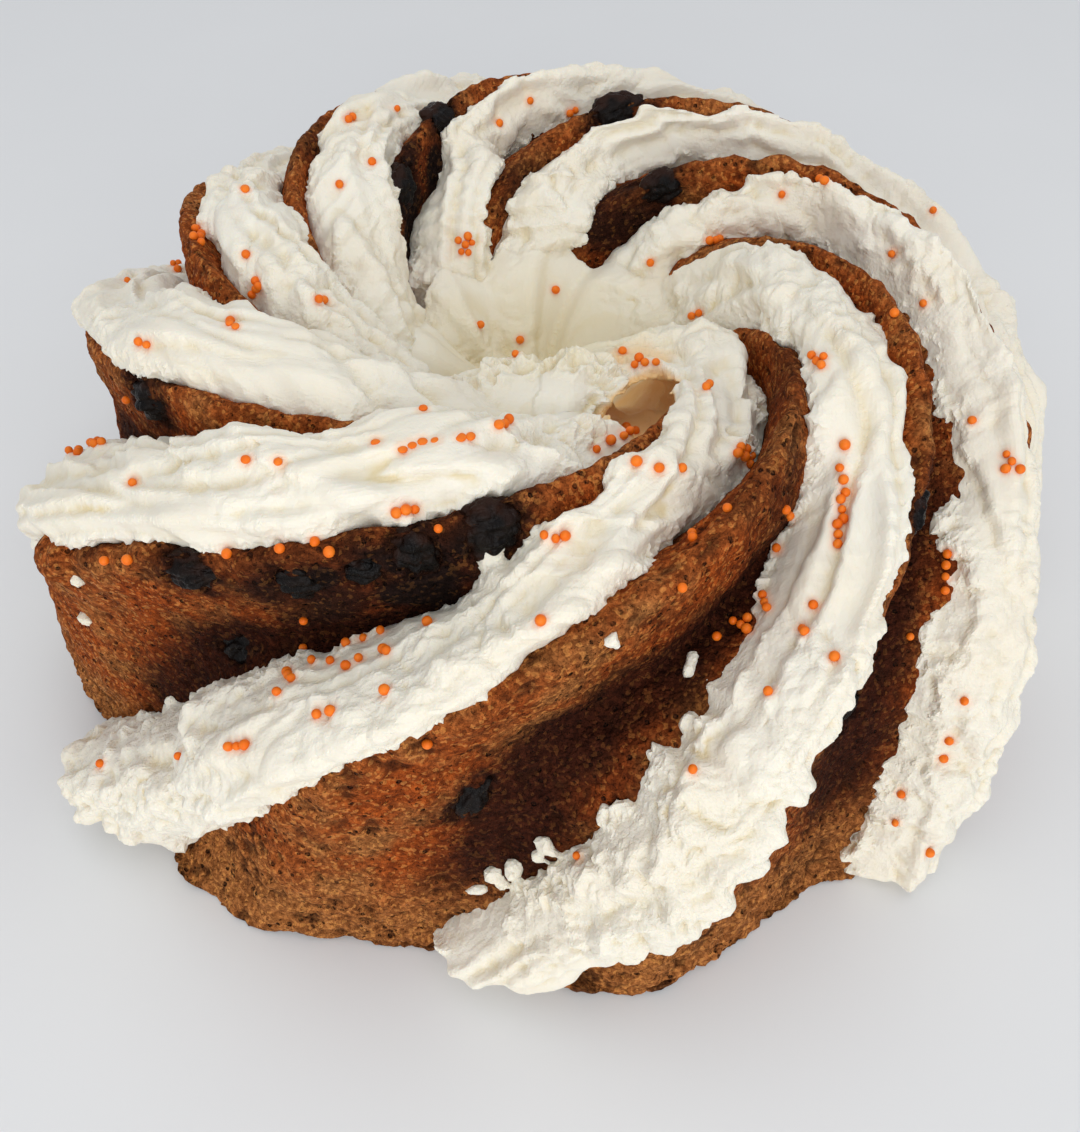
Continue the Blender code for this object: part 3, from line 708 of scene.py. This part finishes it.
def band_grid(ridge, inner, outer, last_row):
    """The rings of points round a band of frosting, its rows and its places across."""
    count = round((last_row - BAND_START) / BAND_FINE_STEP) + 1
    across = np.sin(np.linspace(-np.pi / 2, np.pi / 2, BAND_FINE_ACROSS))
    arch = (1 - np.abs(across) ** ARCH_FLATNESS) ** ARCH_FULLNESS
    rings, rows = [], np.linspace(BAND_START, last_row, count)
    for row in rows:
        s = row / LAST_ROW
        low, high = ridge + edge_at(inner, row), ridge + edge_at(outer, row)
        middle = place(s, (low + high) / 2, 0)
        ridge_width = PERIOD * meridian(s)[0]
        rag = BAND_EDGE_RAG / ridge_width
        low += rag * wobble(middle, RAG_LENGTH, 10 + ridge)
        high += rag * wobble(middle, RAG_LENGTH, 30 + ridge)
        low += teeth(middle, 60 + ridge) / ridge_width
        high += teeth(middle, 80 + ridge) / ridge_width
        turn = low + (high - low) * (across + 1) / 2
        low_lift, high_lift = groove_lift(s, low), groove_lift(s, high)
        chord = low_lift + (high_lift - low_lift) * (across + 1) / 2
        taper = min(1, (last_row - row) / END_TAPER + END_LEAST)
        height = edge_at(BAND_HEIGHT, row) * taper + BAND_LUMPS * wobble(middle, LUMP_LENGTH, 50 + ridge)
        height += swelling(s, turn, FROSTING_SWELLINGS)
        top = np.maximum(chord, groove_lift(s, turn)) + height * arch - BAND_ROOT * (1 - arch)
        back = low + (high - low) * BACK_ACROSS
        rings.append(np.concatenate([place(s, turn, top), place(s, back, groove_lift(s, back) - BAND_BACK)]))
    return np.array(rings), rows, across


def drawn_grid(points, facts, closed=False):
    """The points and triangles of a surface, and of each point its run, side, band, tear and place across."""
    rows, columns = points.shape[:2]
    quads = grid_faces(rows, columns, closed)
    triangles = np.concatenate([quads[:, (0, 1, 2)], quads[:, (0, 2, 3)]])
    values = np.stack([np.broadcast_to(fact, (rows, columns)) for fact in facts], -1)
    return points.reshape(-1, 3), triangles, values.reshape(rows * columns, -1)


def band_body(ridge, *shape):
    """A closed band of frosting, and its surface with the way that the frosting was drawn."""
    rings, rows, across = band_grid(ridge, *shape)
    top = rings[:, :BAND_FINE_ACROSS]
    centre = BAND_FINE_ACROSS // 2
    run = np.cumsum(np.linalg.norm(np.gradient(top, axis=0)[:, centre], axis=1))
    side = np.cumsum(np.linalg.norm(np.gradient(top, axis=1), axis=2), axis=1)
    side -= side[:, centre][:, None]
    facts = (run[:, None], side, float(ridge), edge_at(TORN[ridge], rows)[:, None], across[None])
    return tube("band", rings), drawn_grid(top, facts)


def cap_body():
    """The frosting over the hole: drapes that run down into the middle, with sharp creases between."""
    radii, heights = zip(*CAP_TOP)
    rings = np.linspace(CAP_MIDDLE, radii[-1], CAP_RINGS)
    angles = np.linspace(0, 2 * np.pi, CAP_SPOKES, endpoint=False)
    r, angle = np.meshgrid(rings, angles, indexing="ij")
    bends = (size * np.sin(times * angle + shift) for size, times, shift in CAP_BENDS)
    drawn = sum(bends, angle + CAP_TWIST * r)
    lobe = np.abs(np.sin(DRAPES / 2 * drawn))
    small_lobe = np.abs(np.sin(DRAPES * 1.5 * drawn + 0.8))
    swell = ramp(*DRAPES_FROM, r) * (1 + 0.35 * np.sin(4 * angle + 2))
    drape = DRAPE_HEIGHT * lobe + SMALL_DRAPE_HEIGHT * small_lobe - DRAPE_DEPTH
    z = np.interp(r, radii, heights) + swell * drape
    top = np.stack([r * np.cos(angle), r * np.sin(angle), z], -1)
    bottom = top[::-1].copy()
    bottom[..., 2] = CAP_BOTTOM
    facts = (r, CAP_SIDE * drawn, 0.0, CAP_TORN, 0.0)
    return tube("cap", np.concatenate([top, bottom])), drawn_grid(top, facts, closed=True)


def about_z(degrees):
    """Axes turned about Z."""
    return Matrix.Rotation(math.radians(degrees), 3, "Z")


def slab(name, centre, degrees, sizes, seed):
    """A lump of frosting with blunt ends, of the three full sizes, turned about Z."""
    made = pebble(name, (0, 0, 0), Matrix.Identity(3), (2, 2, 2), 5, 0, seed)
    ball = read_points(made)
    ball /= (np.abs(ball) ** BOXINESS).sum(1, keepdims=True) ** (1 / BOXINESS)
    local = ball * np.array(sizes) / 2
    local *= 1 + 0.08 * grain(local, 14, seed)[:, None]
    write_points(made, local @ np.array(about_z(degrees)).T + np.array(centre))
    return made


def scraps_on(cake):
    """Small flat lumps of frosting stuck to the sponge, and where they are."""
    tree = tree_of(cake)
    made, places = [], []
    for number, (x, y, width) in enumerate(SCRAPS):
        found = seen_at(tree, x, y)
        if found is None:
            continue
        out = Vector(found[1])
        side = out.orthogonal().normalized()
        axes = Matrix((side, out.cross(side), out)).transposed() @ about_z(SCRAP_TURN * number)
        sizes = (width, SCRAP_NARROWNESS * width, SCRAP_THICKNESS)
        made.append(pebble("scrap", found[0], axes, sizes, 4, 0.5, number))
        places.append((found[0], 0.5 * width + 1.2))
    return made, places


def make_frosting(cake):
    """The bands, the cap and the curl as one body, then its strokes, folds and torn lumps."""
    bodies, scraps = scraps_on(cake)
    drawn = [band_body(*band) for band in BANDS] + [cap_body()]
    bodies += [body for body, _ in drawn]
    bodies += [slab(*lump, seed) for seed, lump in enumerate(SLABS, 5)]
    made = join("frosting_spread", bodies)
    fix_normals(made)
    melt(made)
    cut_hollow(made)
    melt(made)
    shape_frosting(made, [grid for _, grid in drawn], scraps)
    return made


def melt(item):
    """Makes one even mesh of whatever the object holds."""
    even = item.modifiers.new("one body", "REMESH")
    even.mode = "VOXEL"
    even.voxel_size = VOXEL * MM
    even.adaptivity = 0
    apply_modifiers(item)


def hollow_space():
    """The centre, axes and full sizes of the hollow under the curl, with its mouth to the front."""
    turned = about_z(CURL_TURN)
    inward = (turned @ Vector(HOLLOW_INWARD)).normalized()
    side = (turned @ Vector((1, 0, 0))).cross(inward).cross(inward).normalized()
    axes = Matrix((side, inward, side.cross(inward))).transposed()
    centre = Vector(HOLLOW_AT) - inward * (HOLLOW_MOUTH / 2)
    return centre, axes, (HOLLOW_SIZE[0], HOLLOW_SIZE[1] + HOLLOW_MOUTH, HOLLOW_SIZE[2])


def cut_hollow(item):
    """Takes the hollow under the curl out of the frosting."""
    space = pebble("hollow", *hollow_space(), 5, 0.1, 8)
    fix_normals(space)
    cut = item.modifiers.new("hollow", "BOOLEAN")
    cut.operation = "DIFFERENCE"
    cut.solver = "EXACT"
    cut.object = space
    apply_modifiers(item)
    bpy.data.objects.remove(space)


def nearest_facts(points, grids):
    """What the drawn surfaces say at the place nearest to each point."""
    starts = itertools.accumulate([0] + [len(corners) for corners, _, _ in grids])
    faces = np.concatenate([start + triangles for start, (_, triangles, _) in zip(starts, grids)])
    corners, values = (np.concatenate([grid[n] for grid in grids]) for n in (0, 2))
    tree = BVHTree.FromPolygons(corners.tolist(), faces.tolist())
    found = [tree.find_nearest(point) for point in points.tolist()]
    face = faces[np.array([near[2] for near in found])]
    spot = np.array([near[0] for near in found])
    a, b, c = (corners[face[:, n]] for n in range(3))
    area = distance(np.cross(b - a, c - a)) + 1e-12
    share_a = distance(np.cross(b - spot, c - spot)) / area
    share_b = distance(np.cross(c - spot, a - spot)) / area
    shares = np.stack([share_a, share_b, np.clip(1 - share_a - share_b, 0, 1)], 1)
    return (values[face] * shares[:, :, None]).sum(1).T


def near_hollow(points):
    """1 on the wall of the hollow under the curl, and 0 away from it."""
    wall = ramp(*HOLLOW_WALL, distance(seen_from(points, *hollow_space())))
    behind = ramp(*HOLLOW_BEHIND, distance(points, np.add(HOLLOW_AT, HOLLOW_BACK)))
    under_curl = ramp(1, -1, points[:, 2] - HOLLOW_AT[2]) * ramp(*HOLLOW_FRONT, points[:, 1])
    return np.maximum(wall, behind * under_curl)


def neighbour_mean(item, values, rounds):
    """The values of the object's points, evened out along its edges."""
    ends = np.empty(2 * len(item.data.edges), np.int32)
    item.data.edges.foreach_get("vertices", ends)
    first, second = ends[::2], ends[1::2]
    size = len(values)
    count = np.maximum(np.bincount(ends, minlength=size), 1)
    for _ in range(rounds):
        total = np.bincount(first, values[second], size) + np.bincount(second, values[first], size)
        values = 0.5 * values + 0.5 * total / count
    return values


def folds(flow):
    """A slow rise and a short fall, again and again across the way that the frosting was drawn."""
    turn = grain(flow, (FOLD_WIDTH, 30, FOLD_LENGTH), FOLD_SEED) * FOLDS
    turn = turn - np.floor(turn)
    return turn, ramp(*FOLD_RISE, turn) - ramp(*FOLD_FALL, turn)


def near_places(points, places, softness=0.15):
    """1 at the given places and 0 further away than their radius."""
    nearness = np.zeros(len(points))
    for centre, radius in places:
        near = ramp(1 + softness, 1 - softness, distance(points, centre) / radius)
        nearness = np.maximum(nearness, near)
    return nearness


def shape_frosting(item, grids, scraps):
    """Strokes along the bands, folds, and crags where the frosting was torn."""
    points, normals = read_points(item), read_normals(item)
    run, side, kind, torn, across = nearest_facts(points, grids)
    flow = np.stack([side, BAND_GAP * kind, run], -1)
    rim = near_places(points, spots_on(item, RAGGED_RIM), 0.4)
    near_edge = np.maximum(ramp(0.72, 0.97, np.abs(across)), rim)
    torn = np.clip(layers(points, TORN_PATCHES, 1.25 * torn - 0.3), 0, 1)
    torn = np.maximum(torn, 0.3 * near_edge + 0.4 * rim)
    turn, fold = folds(flow)
    strokes = layers(flow, FINE_STROKES, STROKE_HEIGHT * fold - STROKE_HEIGHT / 2)
    torn_up = 1 - billows(flow, *TORN_STROKE)
    drawn = (1 - 0.7 * torn) * strokes + 1.6 * torn * torn_up**3 + layers(flow, WAVES)
    drawn *= np.where(kind < 0.5, 0.35, 1)
    relief = neighbour_mean(item, drawn, 6)
    warped = points + WARP * np.stack([grain(points, WARP_SIZE, seed) for seed in WARP_SEEDS], -1)
    lumps = layers(warped, BILLOWS, kind=billows)
    relief += torn * (layers(warped, BIG_CRAGS, lumps, crags) - BILLOW_LEVEL)
    relief += near_edge * (layers(points, EDGE_CRAGS, kind=crags) - 0.8)
    relief += rim * (layers(points, RIM_CRAGS, kind=crags) - 0.6)
    relief += (0.05 + 0.3 * torn) * (layers(points, SMALL_CRAGS, kind=crags) - 0.3)
    dish = near_places(points, spots_on(item, DISHES), 0.6)
    # Painted warm shade in the hollow under the curl and in the dishes; the same mask calms their relief.
    under = np.maximum(near_hollow(points), 0.6 * dish)
    relief *= 1 - 0.7 * under
    relief -= DISH_DEPTH * dish
    relief *= 1 - 0.5 * near_places(points, scraps)
    # A thin edge isn't cut away by its own relief.
    thin = ramp(0.45, 0.85, np.abs(across))
    relief = np.where(relief < 0, (1 - 0.8 * thin) * relief, relief)
    write_points(item, kept_in_box(points + normals * relief[:, None]))
    moved = read_points(item)
    dip = sum((neighbour_mean(item, moved[:, n], 12) - moved[:, n]) * normals[:, n] for n in range(3))
    # Painted shade, yellowish, in the creases and dips, deeper at the listed spots and at each fold's short
    # fall.
    yellow = near_places(points, spots_on(item, CREASE_SHADE_SPOTS), 0.6)
    deep = (0.5 + 0.5 * yellow) * ramp(0.08, 0.55 - 0.3 * yellow, dip)
    deep += 0.25 * (1 - torn) * ramp(0.86, 0.97, turn)
    # Painted shade, yellowish, over the deep middle of the cake.
    middle = ramp(*MIDDLE_SHADE_RADII, distance(points[:, :2]))
    store(item, crease=np.clip(deep, 0, 1), torn=torn, middle=middle, under_curl=under, flow=flow * MM)


# ---- Berries and sprinkles ----
def make_berries():
    """The wrinkled skins of the baked berries."""
    skins = []
    for number, (centre, axes, sizes) in enumerate(berry_spaces(), 1):
        skin = pebble(f"berry_skin_{number:02d}", centre, axes, sizes, 5, BERRY_LUMPS, number)
        points = read_points(skin)
        local = seen_from(points, centre, axes)
        long, short = BERRY_WRINKLES
        wrinkles = 1.7 * billows(local, long, number) + 0.6 * billows(points, short, 42) - WRINKLE_LEVEL
        write_points(skin, kept_in_box(points + read_normals(skin) * wrinkles[:, None]))
        above = local[:, 2] - sizes[2] / 2 + BERRY_PROUD + 1.5 * grain(points, 2.6, 43)
        store(skin, crumbed=ramp(0.5, -1.5, above))
        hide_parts(f"berry_{number:02d}")
        skins.append(skin)
    return skins


def sprinkle_places(tree):
    """Where the sprinkles lie: those that the photograph shows, and more on the far side."""
    rng = random.Random(21)
    places = []
    first_gap, group_gap, hidden_gap = SPRINKLE_GAPS

    def add(found, closest):
        if found is None or found[0][2] < LOWEST_SPRINKLE:
            return False
        centre = found[0] + found[1] * (SPRINKLE_PROUD * SPRINKLE_RADIUS)
        if any(np.linalg.norm(centre - other) < closest for other in places):
            return False
        places.append(centre)
        return True

    for x, y, *group in SPRINKLE_SPOTS:
        count, wide, high = group or (1, 0, 0)
        add(seen_at(tree, x, y), first_gap)
        for _ in range(count - 1):
            for _ in range(SPRINKLE_TRIES):
                if add(seen_at(tree, x + rng.uniform(-wide, wide), y + rng.uniform(-high, high)), group_gap):
                    break
    added = 0
    while added < HIDDEN_SPRINKLES:
        s = rng.uniform(*FAR_ROWS) / LAST_ROW
        turn = rng.uniform(*FAR_TURNS)
        start = place(s, turn, FAR_PROBE)
        inward = place(s, turn, -FAR_PROBE) - start
        if start[1] < FAR_FROM:
            continue
        found = hit(tree, start, inward)
        if found is None or found[1] @ unit(inward) > -LEAST_FACING:
            continue
        for n in range(rng.choice(FAR_GROUPS)):
            shift = np.array([rng.uniform(-GROUP_SPREAD, GROUP_SPREAD) for _ in range(3)]) * (n > 0)
            spot, normal, _, _ = tree.find_nearest(Vector(to_scene(found[0] + shift)))
            added += add((to_mm(spot), np.array(normal)), hidden_gap)
    return np.array(places)


def make_sprinkles(places):
    """Small round sprinkles, each a little different in size."""
    rng = random.Random(22)
    corners, ball_faces = ball(3)
    points, faces = [], []
    for n, centre in enumerate(places):
        radius = SPRINKLE_RADIUS * rng.uniform(*SPRINKLE_SIZES)
        squash = np.array([rng.uniform(*SPRINKLE_SQUASH) for _ in range(3)])
        points.append(centre + np.array(corners) * radius * squash)
        faces += [tuple(n * len(corners) + v for v in face) for face in ball_faces]
    return mesh_object("sprinkles", np.concatenate(points), faces)


def stain_frosting(item, places):
    """The sprinkles' colour runs a little into the frosting round them."""
    tree = KDTree(len(places))
    for n, centre in enumerate(places):
        tree.insert(Vector(centre), n)
    tree.balance()
    away = np.array([tree.find(Vector(point))[2] for point in read_points(item)])
    store(item, stain=ramp(*STAIN_REACH, away))


# ---- Materials ----
class Finish:
    """A Principled material that is built up node by node."""

    def __init__(self, name):
        self.material = bpy.data.materials.new(name)
        self.material.use_nodes = True
        self.tree = self.material.node_tree
        self.shader = self.tree.nodes["Principled BSDF"]
        self.place = self.add("TexCoord", "Object")

    def feed(self, socket, value):
        """Gives a socket another node's output, a colour, a vector or a number."""
        if isinstance(value, bpy.types.NodeSocket):
            self.tree.links.new(value, socket)
        elif isinstance(value, tuple) and len(socket.default_value) == 4:
            socket.default_value = (*value, 1)
        else:
            socket.default_value = value

    def add(self, kind, output, inputs=(), **settings):
        """One output of a new node with these inputs and settings."""
        node = self.tree.nodes.new("ShaderNode" + kind)
        for name, value in settings.items():
            setattr(node, name, value)
        for name, value in dict(inputs).items():
            self.feed(node.inputs[name], value)
        return node.outputs[output]

    def number(self, name, output="Fac"):
        return self.add("Attribute", output, attribute_name=name)

    def noise(self, size_mm, detail=3.0, rough=0.55, source=None):
        inputs = {"Scale": 1 / (size_mm * MM), "Detail": detail, "Roughness": rough}
        return self.add("TexNoise", "Fac", {**inputs, "Vector": source or self.place})

    def cells(self, size_mm, output="Distance"):
        return self.add("TexVoronoi", output, {"Scale": 1 / (size_mm * MM), "Vector": self.place})

    def span(self, value, low, high, to_low=0.0, to_high=1.0):
        inputs = enumerate((value, low, high, to_low, to_high))
        return self.add("MapRange", "Result", inputs, interpolation_type="SMOOTHSTEP")

    def math(self, operation, first, second):
        return self.add("Math", 0, ((0, first), (1, second)), operation=operation)

    def times(self, first, second):
        return self.math("MULTIPLY", first, second)

    def mix(self, factor, first, second, blend="MIX"):
        inputs = ((0, factor), (6, first), (7, second))
        return self.add("Mix", 2, inputs, data_type="RGBA", blend_type=blend)

    def bump(self, height, distance_mm, strength=1.0, normal=None):
        inputs = {"Height": height, "Distance": distance_mm * MM, "Strength": strength}
        if normal is not None:
            inputs["Normal"] = normal
        return self.add("Bump", "Normal", inputs)

    def set(self, **values):
        for name, value in values.items():
            self.feed(self.shader.inputs[name.replace("_", " ")], value)


GOLDEN = (0.36, 0.144, 0.041)
CRUST = (0.31, 0.065, 0.01)
DARK_CRUST_AND_SHADE = (0.038, 0.009, 0.0035)
BLACK_SOAK_AND_SHADE = (0.01, 0.006, 0.005)
AMBER_SPECK_AND_GLINT = (0.74, 0.31, 0.07)
PORE_SHADE = (0.028, 0.008, 0.003)
GRAIN_DARK = (0.6, 0.52, 0.48)
GRAIN_LIGHT = (1.28, 1.26, 1.26)
CREAM = (0.8, 0.74, 0.61)
CREAM_LIGHT = (0.82, 0.775, 0.66)
# What tints the frosting, how strongly and with what colour: painted shade in the creases and over the
# middle, painted warm shade under the curl and in the dishes, and the sprinkles' stain.
FROSTING_TINTS = (
    ("crease", 0.7, (0.68, 0.54, 0.26)),
    ("middle", 0.55, (0.72, 0.61, 0.33)),
    ("under_curl", 0.9, (0.86, 0.52, 0.19)),
    ("stain", 0.3, (0.9, 0.4, 0.16)),
)
BERRY_TONES = ((0.0025, 0.002, 0.002), (0.008, 0.005, 0.004))
BERRY_RED, BERRY_CRUMB = (0.04, 0.013, 0.006), (0.03, 0.01, 0.005)
ORANGE_TONES = ((0.8, 0.145, 0.006), (0.86, 0.2, 0.015))
FLOOR_TONES = ((0.74, 0.74, 0.735), (0.77, 0.77, 0.765))


def sponge_finish():
    f = Finish("sponge_crumb")
    valley, low, hollow, edge, soaked = (f.number(n) for n in ("valley", "low", "hollow", "edge", "soaked"))
    # The crust: warm on the crests and golden on the low walls. The valleys are darkened as painted shade,
    # less on the low walls; round the berries the crumb is darkened as a soaked stain, and the dark spots add
    # painted shade.
    patches = f.noise(15, 4, 0.6)
    warm = f.mix(f.span(patches, 0.44, 0.7), CRUST, GOLDEN)
    warm = f.mix(f.times(edge, 0.25), warm, GOLDEN)
    wall = f.mix(f.times(low, 0.85), warm, GOLDEN)
    uneven = f.times(f.math("SUBTRACT", patches, 0.5), 1.1)
    dark = f.math("ADD", f.span(valley, 0.3, 1.0), uneven)
    dark = f.times(dark, f.math("SUBTRACT", 1.0, f.times(low, 0.7)))
    dark = f.math("MAXIMUM", f.span(dark, 0.0, 1.0), soaked)
    colour = f.mix(dark, wall, DARK_CRUST_AND_SHADE)
    # Near-black where the soaked stain and the painted shade are deepest.
    colour = f.mix(f.times(f.span(soaked, 0.72, 1.0), 0.9), colour, BLACK_SOAK_AND_SHADE)
    # The crumb: clumps, beads of many tones, a few bright amber ones that are partly the crumb's own specks
    # and partly painted glints, and pores darkened as painted shade.
    clumps = f.noise(1.7, 3, 0.65)
    contrast = f.mix(f.span(clumps, 0.34, 0.66), GRAIN_DARK, GRAIN_LIGHT)
    colour = f.mix(1.0, colour, contrast, "MULTIPLY")
    beads, tones = f.cells(0.8), f.cells(0.8, "Color")
    each = f.mix(f.span(tones, 0.25, 0.75), GRAIN_DARK, GRAIN_LIGHT)
    colour = f.mix(0.55, colour, each, "MULTIPLY")
    # Bright amber grains, fewer in the dark: partly the crumb's own specks, partly painted glints.
    most = f.math("SUBTRACT", 0.36, f.times(dark, 0.31))
    speck_and_glint = f.times(f.span(tones, 0.7, 0.8), most)
    colour = f.mix(speck_and_glint, colour, AMBER_SPECK_AND_GLINT)
    pores = f.times(f.span(f.cells(2.0), 0.32, 0.12), f.span(f.noise(4.0, 2), 0.46, 0.6))
    colour = f.mix(f.times(pores, 0.8), colour, PORE_SHADE)
    # Painted shade in the crumb's dips.
    colour = f.mix(f.times(f.span(hollow, 0.66, 1.0), 0.7), colour, PORE_SHADE)
    normal = f.bump(beads, -0.6, 1.0)
    normal = f.bump(clumps, 0.9, 0.9, normal)
    normal = f.bump(f.noise(0.6, 2, 0.7), 0.35, 1.0, normal)
    normal = f.bump(pores, -1.2, 1.0, normal)
    rough = f.span(speck_and_glint, 0, 0.4, 0.9, 0.55)
    f.set(Base_Color=colour, Roughness=rough, Normal=normal, Specular_IOR_Level=0.08)
    return f.material


def frosting_finish():
    f = Finish("whipped_frosting")
    colour = f.mix(f.span(f.noise(22, 2), 0.3, 0.7), CREAM, CREAM_LIGHT)
    for name, strength, tint in FROSTING_TINTS:
        colour = f.mix(f.times(f.number(name), strength), colour, tint)
    # Fine strokes along the way it was drawn, and small crests where it was torn.
    flow = f.add("Mapping", "Vector", {"Vector": f.number("flow", "Vector"), "Scale": (1.0, 1.0, 0.07)})
    normal = f.bump(f.noise(1.1, 2, 0.6, flow), 0.25, 0.5)
    rough = f.math("ADD", 0.12, f.times(f.number("torn"), 0.88))
    for size, height in ((2.6, 0.9), (1.2, -0.35)):
        crests = f.math("ABSOLUTE", f.math("SUBTRACT", f.noise(size, 3, 0.55), 0.5), 0)
        normal = f.bump(f.times(crests, rough), height, 1.0, normal)
    shine = f.span(f.noise(3.0, 2), 0.3, 0.7, 0.42, 0.6)
    f.set(Base_Color=colour, Roughness=shine, Normal=normal, Specular_IOR_Level=0.45)
    f.set(Subsurface_Weight=0.25, Subsurface_Radius=(1.0, 0.75, 0.5), Subsurface_Scale=0.0025)
    return f.material


def berry_finish():
    f = Finish("baked_berry")
    patches = f.noise(4.0, 3)
    colour = f.mix(f.span(patches, 0.35, 0.7), *BERRY_TONES)
    colour = f.mix(f.span(f.noise(1.4, 3), 0.66, 0.76), colour, BERRY_RED)
    colour = f.mix(f.times(f.number("crumbed"), 0.6), colour, BERRY_CRUMB)
    normal = f.bump(f.noise(1.5, 3, 0.6), 0.7, 0.8)
    normal = f.bump(f.noise(0.6, 2, 0.65), 0.2, 0.8, normal)
    shine = f.span(patches, 0.3, 0.7, 0.22, 0.45)
    f.set(Base_Color=colour, Roughness=shine, Normal=normal, Specular_IOR_Level=0.1)
    return f.material


def sprinkle_finish():
    f = Finish("orange_sprinkle")
    colour = f.mix(f.span(f.noise(3.0, 2), 0.35, 0.65), *ORANGE_TONES)
    normal = f.bump(f.noise(0.6, 2), 0.05, 0.6)
    shine = f.span(f.noise(1.2, 2), 0.3, 0.7, 0.35, 0.5)
    f.set(Base_Color=colour, Roughness=shine, Normal=normal, Specular_IOR_Level=0.2)
    return f.material


def floor_finish():
    f = Finish("pale_floor")
    f.set(Base_Color=f.mix(f.noise(90, 2), *FLOOR_TONES), Roughness=0.6)
    return f.material


# ---- Floor, light and camera ----
FLOOR_HALF = 5000
# Lights: the name, the place, the size in metres and the power.
LIGHTS = (("top_light", (0.05, 0.05, 0.95), 0.9, 1.8), ("front_light", (0.05, -1.05, 0.42), 1.1, 7.0))
LIGHT_TARGET = Vector((0, 0, 0.05))
ROOM_COLOUR, ROOM_STRENGTH = (0.92, 0.95, 1.0, 1), 0.68


def make_floor():
    corners = [(x * FLOOR_HALF, y * FLOOR_HALF, 0) for x, y in ((-1, -1), (1, -1), (1, 1), (-1, 1))]
    floor = mesh_object("floor", corners, [(0, 1, 2, 3)])
    floor.data.materials.append(floor_finish())


def make_light():
    for name, spot, size, power in LIGHTS:
        lamp = bpy.data.lights.new(name, "AREA")
        lamp.shape, lamp.size, lamp.energy = "DISK", size, power
        item = add_object(name, lamp)
        item.location = spot
        item.rotation_euler = (Vector(spot) - LIGHT_TARGET).to_track_quat("Z", "Y").to_euler()
    world = bpy.data.worlds.new("soft_room")
    bpy.context.scene.world = world
    world.use_nodes = True
    background = world.node_tree.nodes["Background"]
    background.inputs["Color"].default_value = ROOM_COLOUR
    background.inputs["Strength"].default_value = ROOM_STRENGTH
    bpy.context.scene.view_settings.view_transform = "Standard"


def make_camera():
    origin, right, up, forward = camera_axes()
    camera = bpy.data.cameras.new("photo_view")
    camera.sensor_fit = "VERTICAL"
    camera.sensor_height = SENSOR_HEIGHT
    camera.lens = FOCAL_PIXELS / PHOTO_HEIGHT * SENSOR_HEIGHT
    camera.clip_start = 0.01
    item = add_object("photo_view", camera)
    rows = [[*row] for row in zip(right, up, -forward, to_scene(origin))]
    item.matrix_world = Matrix([*rows, [0, 0, 0, 1]])
    bpy.context.scene.camera = item


def main():
    make_camera()
    cake = make_sponge()
    frosting = make_frosting(cake)
    berries = make_berries()
    places = sprinkle_places(tree_of(cake, frosting))
    sprinkles = make_sprinkles(places)
    write_points(sprinkles, kept_in_box(read_points(sprinkles)))
    stain_frosting(frosting, places)
    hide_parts("cake")
    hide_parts("frosting")
    cake.data.materials.append(sponge_finish())
    frosting.data.materials.append(frosting_finish())
    sprinkles.data.materials.append(sprinkle_finish())
    skin = berry_finish()
    for berry in berries:
        berry.data.materials.append(skin)
    for piece in (cake, frosting, sprinkles, *berries):
        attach(piece, "root")
    make_floor()
    make_light()


main()
